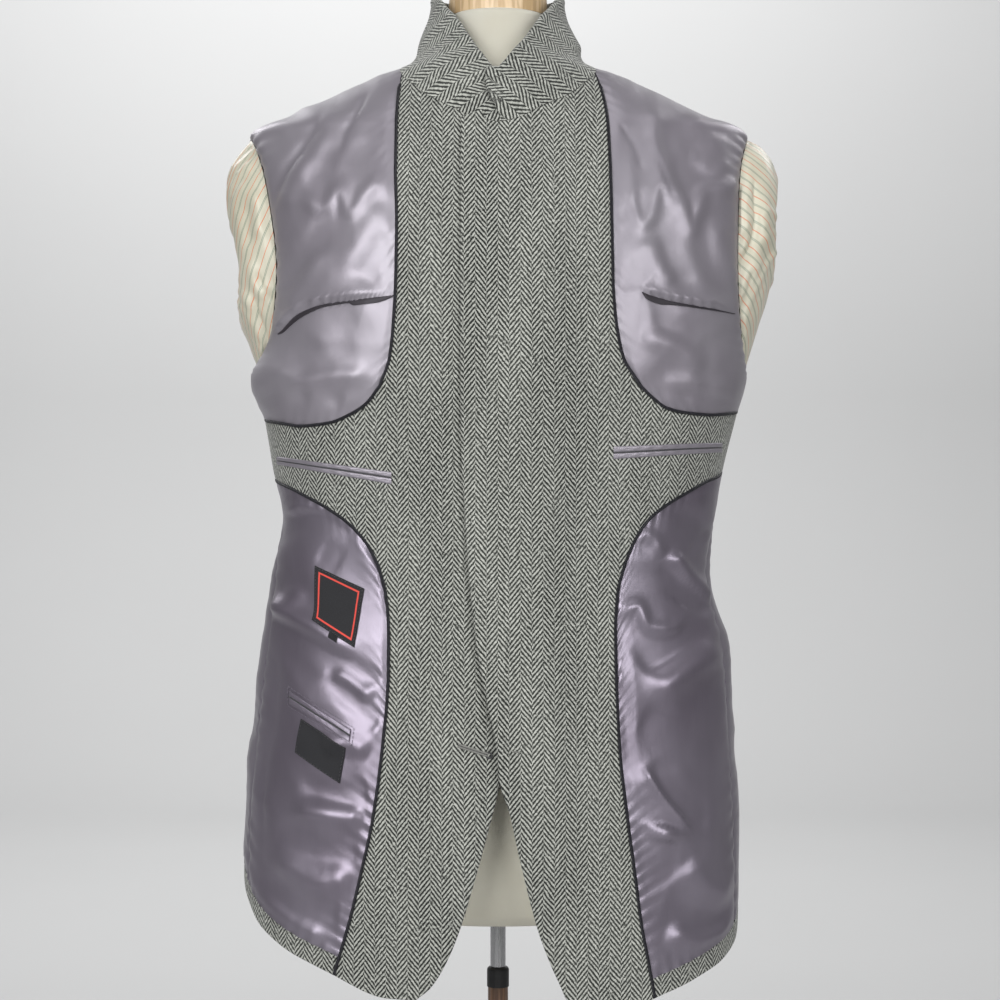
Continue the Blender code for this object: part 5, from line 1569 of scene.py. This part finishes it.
def make_tuck_shades():
    """Under each tuck's lip a narrow, dark crescent of satin stands in for the shade there: painted
    shade.
    """
    for name, side, piece, points in TUCK_SHADES:
        lip = through(points, 90) / 1000
        down = np.linspace(0, 1, 5)[:, None]
        x = lip[None, :, 0] + 0 * down
        z = lip[None, :, 1] - lip[None, :, 2] * down
        high = TUCK_SHADE_HIGH + np.sin(pi * down) * TUCK_SHADE_SWELL
        grid = layer(*on_panel(side, piece, x, z, 0.0), np.stack([x, z], -1), TUCK_SHADE_LOW, high)
        wall(name, [grid], TUCK_SHADE_SATIN)


WELT_SWELL = {"facing_left": 0.0008, "facing_right": 0.0008, "skirt_lining_left": 0.0004}
WELT_WAVE = {"facing_left": 0.00025, "facing_right": 0.00025, "skirt_lining_left": 0.00004}
WELT_OUT = {"facing_left": 0.0005, "facing_right": 0.0005, "skirt_lining_left": 0.0020}
WELT_LENGTH = 0.105
WELT_WIDTH = 0.004
# The openings between the welts, as lines of (x, z) points: the dark cord along each is painted
# shade.
SLITS = (
    ("breast_slit_left", -1, "facing_left", ((-0.1930, 1.1105), (-0.0905, 1.0944))),
    ("breast_slit_right", 1, "facing_right", ((0.0985, 1.1158), (0.1960, 1.1222))),
    ("pocket_slit_left", -1, "skirt_lining_left", ((-0.1766, 0.9036), (-0.1243, 0.8736))),
)
SLIT_RADIUS = 0.0009
TRIM_LOW = 0.0002


def make_welts():
    for name, (piece, corners) in WELTS.items():
        side = -1 if "left" in name else 1
        point, outward, u, v = panel_patch(side, piece, corners, 90, 8)
        edge = np.minimum(v, 1 - v) * 2
        ends = smooth_step(np.minimum(u, 1 - u) * 30)
        length = u * WELT_LENGTH
        swell = WELT_SWELL[piece] * np.clip(edge * 2.2, 0, 1) ** 0.5 * (0.55 + 0.45 * ends)
        wave = WELT_WAVE[piece] * edge * np.sin(length * 520 + len(name))
        uv = np.stack([length, v * WELT_WIDTH], -1)
        grid = layer(point, outward, uv, TRIM_LOW, WELT_OUT[piece] + swell + wave * ends)
        obj = wall(f"{name}_cloth", [grid], SATIN_LOWER_SHADED if "skirt" in piece else SATIN_UPPER_LIT)
        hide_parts(name)
    # A dark cord in each opening stands in for the shade inside it: painted shade.
    for name, side, piece, points in SLITS:
        panel_cord(name, side, piece, evenly(np.array(points), 0.002), WELT_OUT[piece] - 0.0003,
                   SLIT_RADIUS, DARK_THREAD_AND_SHADE, 6)


# How far each label stands from its solid's place across and up, so that it lies where it shows.
LABEL_SHIFT = {
    "label_main": (0.0022, 0.0), "label_size": (0.0030, 0.0035), "label_care": (0.0032, 0.0014),
}
LABEL_OUT = 0.0009
LABEL_SEAM = 0.95


def make_labels():
    for name, corners in LABELS.items():
        over, up = LABEL_SHIFT[name]
        corners = [(x + over, z + up) for x, z in corners]
        point, outward, u, v = panel_patch(-1, "skirt_lining_left", corners, 30, 30)
        edge = np.minimum(np.minimum(u, 1 - u), np.minimum(v, 1 - v))
        curl = 0.0005 * np.sin(u * 5 + 1) * np.sin(v * 4) + 0.0004 * (1 - smooth_step(edge * 9))
        grid = layer(point, outward, np.stack([u, v], -1), TRIM_LOW, LABEL_OUT + curl)
        obj = wall(f"{name}_tape", [grid], label_material(f"{name}_tape", name == "label_main"))
        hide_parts(name)
        if name != "label_size":
            centre = sum(np.array(corner) for corner in corners) / 4
            ring = [centre + (corner - centre) * LABEL_SEAM for corner in np.array(corners)]
            stitches(f"{name}_stitches", -1, "skirt_lining_left", [*ring, ring[0]],
                     0.0018, 0.0012, 0.00022, DARK_THREAD_AND_SHADE, 0.0014)


BUTTONHOLE = ((-0.0335, 0.8668), (-0.0085, 0.8588))
BUTTONHOLE_HALF = 0.0010
EYELET = (-0.0072, 0.8584)
EYELET_RADIUS = 0.0022
PURL_LAY = 0.0012
WORN_SPOT = ((0.0115, 0.8621), (0.0150, 0.8617), (0.0185, 0.8609))


def make_buttonhole():
    """The left front's buttonhole: two rows of grey purl thread that end in a keyhole eye."""
    start, end = (np.array(point) for point in BUTTONHOLE)
    along = (end - start) / np.hypot(*(end - start))
    aside = np.array([-along[1], along[0]])
    for number, offset in enumerate((-BUTTONHOLE_HALF, BUTTONHOLE_HALF)):
        spots = start + (end - start) * np.linspace(0, 1, 60)[:, None] + aside * offset
        panel_cord(f"buttonhole_thread_{number + 1}", -1, "facing_left", spots, 0.0004, 0.00085,
                   GREY_THREAD, 8, PURL_LAY)
    turn = np.linspace(0, 2 * pi, 40)
    spots = np.array(EYELET) + EYELET_RADIUS * np.stack([np.cos(turn), np.sin(turn)], -1)
    panel_cord("buttonhole_eye", -1, "facing_left", spots, 0.0004, 0.00075, DARK_THREAD_AND_SHADE, 8,
               PURL_LAY)
    # A dark cord along the cut is painted shade in the buttonhole's opening.
    spots = start + (end - start) * np.linspace(0.02, 1, 40)[:, None]
    panel_cord("buttonhole_slit", -1, "facing_left", spots, 0.0, 0.0006, DARK_THREAD_AND_SHADE, 6)
    spots = np.array(WORN_SPOT)
    path, outward = on_panel(1, "facing_right", spots[:, 0], spots[:, 1], 0.0)
    path = evenly(path, 0.0006)
    ring_sweep("worn_spot", path, np.repeat(outward[:1], len(path), 0), 0.0007, GREY_THREAD, 6)


POCKET_BOX = (
    (-0.1790, 0.9125), (-0.1215, 0.8800), (-0.1220, 0.8655), (-0.1795, 0.8960), (-0.1790, 0.9125),
)


def make_stitching():
    """The hem's catch stitches and the lower pocket's stitched box."""
    for side in (-1, 1):
        where = SIDE_NAME[side]
        run = edge_station(LOWER, side, np.array([LINING_HEM]))[0]
        reach = np.linspace(run[0] + 2, SKIRT_SEAM - 1, 60)
        spots = surface_point(side, reach, np.full_like(reach, LINING_HEM - 0.001))
        stitches(f"hem_stitches_{where}", side, f"skirt_lining_{where}", spots[:, [0, 2]],
                 0.0042, 0.0014, 0.00028, GREY_THREAD, 0.0003, 0.0016)
    stitches("pocket_stitches", -1, "skirt_lining_left", POCKET_BOX,
             0.0022, 0.0011, 0.00024, LAVENDER_THREAD, 0.0006)


# ------------------------------------------------------------------ the collar

# The cloth's grain on each half, in degrees, about this height.
COLLAR_GRAIN = {-1: 26.6, 1: -34.5}
GRAIN_START = 1.45
COLLAR_STEPS = 300
COLLAR_ROWS = 44
COLLAR_HEIGHT = 0.055
COLLAR_HALF = 0.42


def make_collar():
    """The turned-up collar: rounded edges, a soft roll, and the grain askew on each half."""
    share = np.linspace(0, 1, COLLAR_STEPS + 1)[None, :]
    edge = np.array([0, 0.012, 0.03, 0.055])
    up = np.concatenate([edge, np.linspace(0.085, 0.915, COLLAR_ROWS), 1 - edge[::-1]])[:, None]
    crowded = share - COLLAR_CROWDING * np.sin(2 * pi * share) / (2 * pi)
    last = -360.0 - COLLAR_REACH(up)
    angle = COLLAR_START + (last - COLLAR_START) * crowded
    from_front = np.abs((angle + 180.0) % 360.0 - 180.0)
    low = COLLAR_EDGE["low"](from_front) - 0.011 * (1 - smooth_step(from_front / 75))
    low = low + (0.006 * smooth_step((from_front - 50) / 28)
                 * (1 - smooth_step((from_front - 115) / 30)))
    high = COLLAR_EDGE["high"](from_front) - 0.0155 * (1 - smooth_step(from_front / 38))
    row = low + (high - low) * up
    on_left = angle > -180
    apart = 0.0012 * (1 - smooth_step(from_front / 30))
    out = np.where(on_left, STAND["left"](from_front) - 0.5 * apart,
                   STAND["right"](from_front) + apart)
    point, outward = surface_point(1, angle, row), outward_at(1, angle, row)
    to_rim = np.minimum(up, 1 - up) * COLLAR_HEIGHT
    to_end = np.minimum(share, 1 - share) * COLLAR_HALF
    fall = round_edge(np.minimum(to_rim, to_end))
    x, z = point[..., 0], point[..., 2]
    roll = 0.0012 * np.exp(-((up - 0.93) / 0.05) ** 2) + 0.0006 * np.sin(x * 75) * up**2
    from_bump = ((z - 1.476) / 0.013) ** 2 + ((from_front - 74) / 22) ** 2
    bump = 0.0040 * np.exp(-from_bump) * (1 - on_left)
    dent = stroke_lift("ridge", 4, 1000, ((-11, 1436), (-6, 1428), (0, 1413)), x, z)
    dent = 0.0026 * dent * on_left
    lift = roll + crumple_lift("facing_left", x * 1.4, z) + bump - dent
    flush = (1 - smooth_step(up / 0.30)) * np.ones(x.shape)
    lapped = lap_lift(1, point) * smooth_step((x + 0.020) / 0.012)
    merged = SURFACE + 0.0002 + lapped
    grain = np.radians(np.where(on_left, COLLAR_GRAIN[-1], COLLAR_GRAIN[1]))
    arc, height = arc_at(1, angle, row), row - GRAIN_START
    uv = np.stack([height * np.cos(grain) - arc * np.sin(grain),
                   arc * np.cos(grain) + height * np.sin(grain)], -1)
    low = (out + np.maximum(lift, -0.0008) + 0.5 * fall) * (1 - flush) + merged * flush
    high = (out + COLLAR_THICK + lift - fall) * (1 - flush) + (merged + 0.0006) * flush
    grid = layer(point, outward, uv, low, high)
    sew("collar", [grid], TWEED, "tweed", "facing_left", "facing_right")


# ------------------------------------------------------------------ the sleeves

SLEEVE_STEPS_ROUND = 150
PUFF_STEPS = 84
INNER_STEPS = 60

# Folds of the puffs: kind, width, height and points as (distance out, z), all in millimetres.
PUFF_STROKES = {
    -1: (
        ("crease", 5, -3.2, ((214, 1276), (208, 1262), (196, 1248))),
        ("ridge", 7, 2.2, ((222, 1290), (214, 1268), (202, 1254))),
        ("crease", 5, -3.0, ((219, 1262), (212, 1235), (198, 1206))),
        ("ridge", 7, 2.4, ((224, 1262), (218, 1236), (206, 1212))),
        ("ridge", 6, 2.0, ((205, 1226), (196, 1210), (190, 1196))),
        ("ridge", 5, 2.2, ((214, 1216), (202, 1202), (190, 1192))),
        ("crease", 4, -1.8, ((208, 1208), (198, 1198), (190, 1190))),
        ("ridge", 8, 1.8, ((212, 1352), (214, 1330), (212, 1304))),
        ("ridge", 8, -1.8, ((222, 1340), (222, 1318), (218, 1298))),
    ),
    1: (
        ("crease", 6, -3.2, ((228, 1362), (228, 1330), (225, 1302), (212, 1278))),
        ("ridge", 8, 2.4, ((234, 1350), (236, 1322), (232, 1296))),
        ("ridge", 8, 2.0, ((216, 1358), (218, 1332), (214, 1306))),
        ("ridge", 7, 2.0, ((232, 1292), (224, 1270), (214, 1252))),
        ("crease", 5, -2.0, ((226, 1280), (220, 1258), (212, 1236))),
        ("ridge", 6, 1.6, ((220, 1244), (216, 1226), (212, 1210))),
    ),
}


# The stripes' width coordinate runs round each puff: from this far out, at this radius. Their lean
# is in degrees, and they are counted from this height.
PUFF_ROOT = 0.195
PUFF_ROUND = 0.058
STRIPE_LEAN = {-1: 68.0, 1: 42.0}
STRIPE_START = 1.3600
PUFF_CENTRE = (0.19, 0.0, 1.29)
PUFF_FOLD_SIZE = 1.5


def sleeve_grid(side, rings, steps, columns):
    """A tube of cloth through these rings of the sleeve, with its points and stripes."""
    ring = through(rings, steps)
    half_depth, half_height, centre, out, tilt = (ring[:, k:k + 1] for k in range(5))
    turn = np.linspace(0, 2 * pi, columns + 1)[None, :]
    y = -SLEEVE_FORWARD - half_depth * np.sin(turn)
    height = centre + half_height * np.cos(turn)
    distance = side_distance(side, y, height) + out - tilt * np.cos(turn)
    point = np.stack([side * distance, y, height], -1)
    point[:, -1] = point[:, 0]
    around = np.roll(point, -1, axis=1) - np.roll(point, 1, axis=1)
    around[:, 0] = point[:, 1] - point[:, -2]
    around[:, -1] = around[:, 0]
    outward = np.cross(around, np.gradient(point, axis=0)) * side
    outward /= np.maximum(np.linalg.norm(outward, axis=-1, keepdims=True), 1e-9)
    if np.sum((point - np.array(PUFF_CENTRE) * (side, 1, 1)) * outward) < 0:
        outward = -outward
    swing = np.arctan2(point[..., 1] + SLEEVE_FORWARD, np.abs(point[..., 0]) - PUFF_ROOT)
    across, level = PUFF_ROUND * swing, point[..., 2]
    lean = radians(STRIPE_LEAN[side])
    uv_across = across * np.sin(lean) + (level - STRIPE_START) * np.cos(lean)
    uv = np.stack([uv_across, level * np.sin(lean) - across * np.cos(lean)], -1)
    return {"point": point, "outward": outward, "uv": uv}


def puff_lift(side, point):
    """The puff's folds and gathers, which fade out at both ends of its tube."""
    rows, columns = point.shape[:2]
    turn = np.linspace(0, 2 * pi, columns)[None, :]
    share = np.linspace(0, 1, rows)[:, None]
    front = smooth_step((0.010 - point[..., 1]) / 0.03)
    lift = np.zeros((rows, columns))
    for kind, width, size, points in PUFF_STROKES[side]:
        both = stroke_lift(kind, width, size, points, np.abs(point[..., 0]), point[..., 2])
        lift = lift + PUFF_FOLD_SIZE * both * (0.45 + 0.55 * front)
    dice = np.random.default_rng(31 + side)
    turning = turn + 0.35 * np.sin(3 * turn + side)
    for _ in range(5):
        waves = dice.integers(7, 23)
        lift = lift + 0.0003 * np.sin(waves * turning + dice.uniform(0, 6) + 5 * share)
    lift = lift + 0.0008 * np.exp(-share / 0.10) * np.sin(58 * turning + 2 * np.sin(9 * turn))
    across = point[..., 0] * 1.6 + point[..., 1]
    lift = lift + crumple_lift("chest_lining_left", across, point[..., 2] * 1.3) * 0.6
    lift = lift * smooth_step(share / 0.06) * smooth_step((1 - share) / 0.3)
    lift[:, -1] = lift[:, 0]
    return lift


def make_sleeves(side):
    """The sleeve lining, which runs over the puff down to the cuff, and the cloth inside it."""
    where = SIDE_NAME[side]
    rings = PUFF[side] + SLEEVE_RINGS
    puff_rings = len(PUFF[side])
    puff = sleeve_grid(side, rings[:puff_rings + 1], PUFF_STEPS, SLEEVE_STEPS_ROUND)
    lift = puff_lift(side, puff["point"])
    set_wall(puff, -SLEEVE_LINING_THICK, 0.0, lift)
    rest = sleeve_grid(side, rings[puff_rings - 1:], INNER_STEPS, SLEEVE_STEPS_ROUND)
    # Its first stretch only shapes the curve: the tube goes on from the puff's last ring.
    first = round(INNER_STEPS / (len(rings) - puff_rings))
    rest = {key: value[first:] for key, value in rest.items()}
    rest["point"][0] = puff["point"][-1]
    set_wall(rest, -SLEEVE_LINING_THICK, 0.0)
    for key in ("inner", "outer"):
        rest[key][0] = puff[key][-1]
    sew(f"sleeve_lining_{where}", [puff, rest], STRIPED, "sleeve_satin",
        f"chest_lining_{where}", f"back_lining_{where}")
    cloth = sleeve_grid(side, SLEEVE_RINGS[SLEEVE_CLOTH_FROM:], INNER_STEPS, 90)
    cloth["uv"] = cloth["point"][..., 1:]
    clear = SLEEVE_LINING_THICK + SLEEVE_CLOTH_CLEAR
    set_wall(cloth, -clear - SLEEVE_CLOTH_THICK, -clear)
    sew(f"sleeve_{where}", [cloth], TWEED, "tweed", f"sleeve_lining_{where}")


# ------------------------------------------------------------------ the form and the stand

FORM_STEPS_ROUND = 120
FORM_RADIUS = 0.16


def make_form():
    """The dress form's torso and neck under tight jersey, closed above and below."""
    heights, widths, fronts, backs = np.array(FORM).T
    touching = np.isin(heights, FORM_TOUCH)
    widths = np.where(touching, SECTION["right"](heights) - FORM_EASE, widths)
    levels = [np.linspace(a, b, 8)[:-1] for a, b in zip(heights, heights[1:])]
    levels = np.concatenate([*levels, heights[-1:]])[:, None]
    width, front, back = (smooth_curve(heights, part)(levels) for part in (widths, fronts, backs))
    turn = np.linspace(-pi, pi, FORM_STEPS_ROUND + 1)[None, :-1]
    depth = np.where(np.cos(turn) > 0, front, back)
    ring = np.stack([width * np.sin(turn), -depth * np.cos(turn), levels + 0 * turn], -1)
    index = np.arange(ring[..., 0].size).reshape(ring.shape[:2])
    faces = ring_quads(index).tolist()
    low, high = index.size, index.size + 1
    faces += [[b, a, low] for a, b in zip(index[0].tolist(), np.roll(index[0], -1).tolist())]
    faces += [[a, b, high] for a, b in zip(index[-1].tolist(), np.roll(index[-1], -1).tolist())]
    ends = [[0.0, 0.0, float(level)] for level in levels[[0, -1], 0]]
    uv = np.stack(np.broadcast_arrays(turn * FORM_RADIUS, ring[..., 2]), -1).reshape(-1, 2)
    obj = mesh_object("form_torso_jersey", np.concatenate([ring.reshape(-1, 3), ends]), faces,
                      np.concatenate([uv, np.zeros((2, 2))]), jersey_material())
    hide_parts("form_torso")


def dress_cad_nodes():
    """Better materials for the turned solids and the buttons, which keep their CAD shapes."""
    finishes = {
        "neck_cap": wood_material("cap_wood", (0.52, 0.36, 0.19), (0.68, 0.50, 0.30), 0.32),
        "stand_post": wood_material("post_wood", (0.11, 0.055, 0.030), (0.21, 0.115, 0.065), 0.35),
        "stand_pole": grained_material(
            "pole_steel", (0.42, 0.42, 0.43), (0.66, 0.66, 0.67), 1200.0, None, (0.24, 0.38),
            0.0001, squeeze=0.03, Metallic=1.0),
        "stand_ring": black_metal_material("ring_metal"),
        "stand_base": black_metal_material("base_metal"),
        "button_1": grained_material(
            "horn", (0.020, 0.013, 0.010), (0.13, 0.085, 0.055), 160.0, (0.35, 0.7), (0.28, 0.42),
            0.0001, 4.0, 0.6),
    }
    finishes["button_2"] = finishes["button_1"]
    for node, material in finishes.items():
        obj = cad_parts[node]
        obj = bpy.data.objects[obj] if isinstance(obj, str) else obj
        for slot in obj.material_slots:
            slot.link = "OBJECT"
            slot.material = material


# ------------------------------------------------------------------ camera, light and room

ROOM_COLOUR = (0.50, 0.502, 0.502)
ROOM_HALF = 9.0
WALL_Y = 7.0
WALL_TOP = 7.0
WALL_CURVE = 1.5
# Soft boxes: place, aim, size and power.
LIGHTS = (
    ("key", (-1.5, -2.9, 1.95), (0.0, 0.0, 1.25), 1.7, 74.0),
    ("fill", (1.6, -2.9, 1.75), (0.0, 0.0, 1.2), 1.7, 50.0),
    ("top", (0.2, -0.7, 3.4), (0.0, 0.1, 1.2), 1.6, 12.0),
    ("back_left", (-2.0, 2.3, 3.3), (0.0, 0.0, 1.1), 1.4, 34.0),
    ("back_right", (2.1, 2.2, 3.3), (0.0, 0.0, 1.1), 1.4, 30.0),
    ("wall", (-0.5, 2.9, 5.4), (-0.4, 7.0, 3.4), 2.6, 400.0),
)
WORLD_COLOUR = (0.98, 0.98, 1.0, 1.0)
WORLD_STRENGTH = 0.21
# The camera looks level along +Y, and the focal length in pixels belongs to a frame this wide.
CAMERA_PLACE = (0.0018, -2.0, 1.075)
SENSOR = 36.0
FOCAL_PIXELS = 2200.0
FRAME_PIXELS = 1000.0


def in_scene(name, data):
    obj = bpy.data.objects.new(name, data)
    bpy.context.scene.collection.objects.link(obj)
    return obj


def make_room():
    """A pale floor that curves up into a wall far behind, so that no view is blocked."""
    foot = WALL_Y - WALL_CURVE
    profile = [(-ROOM_HALF, 0.0), (foot, 0.0)]
    profile += [(foot + WALL_CURVE * np.sin(t), WALL_CURVE - WALL_CURVE * np.cos(t))
                for t in np.linspace(0.1, pi / 2, 14)]
    profile += [(WALL_Y, WALL_TOP)]
    points = [(x, float(y), float(z)) for x in (-ROOM_HALF, ROOM_HALF) for y, z in profile]
    count = len(profile)
    mesh = bpy.data.meshes.new("room")
    mesh.from_pydata(points, [], [[i, i + count, i + count + 1, i + 1] for i in range(count - 1)])
    mesh.shade_smooth()
    mesh.materials.append(room_material(ROOM_COLOUR))
    in_scene("room", mesh)


def make_lights():
    for name, place, aim, size, power in LIGHTS:
        data = bpy.data.lights.new(name, "AREA")
        data.shape = "SQUARE"
        data.size = size
        data.energy = power
        obj = in_scene(name, data)
        obj.location = place
        obj.rotation_euler = (Vector(aim) - Vector(place)).to_track_quat("-Z", "Y").to_euler()
    world = bpy.data.worlds.new("soft")
    world.use_nodes = True
    background = world.node_tree.nodes["Background"]
    background.inputs["Color"].default_value = WORLD_COLOUR
    background.inputs["Strength"].default_value = WORLD_STRENGTH
    bpy.context.scene.world = world


def make_camera():
    data = bpy.data.cameras.new("camera")
    data.sensor_width = SENSOR
    data.lens = FOCAL_PIXELS * SENSOR / FRAME_PIXELS
    obj = in_scene("camera", data)
    obj.location = CAMERA_PLACE
    obj.rotation_euler = (pi / 2, 0.0, 0.0)
    bpy.context.scene.camera = obj


bpy.context.scene.view_settings.view_transform = "Standard"
make_camera()
for coat_side in (-1, 1):
    make_shell(coat_side)
    make_facing(coat_side)
    make_linings(coat_side)
    make_hems(coat_side)
    make_piping(coat_side)
    make_sleeves(coat_side)
make_collar()
make_welts()
make_tuck_shades()
make_labels()
make_buttonhole()
make_stitching()
make_form()
dress_cad_nodes()
make_room()
make_lights()

bpy.context.view_layer.update()
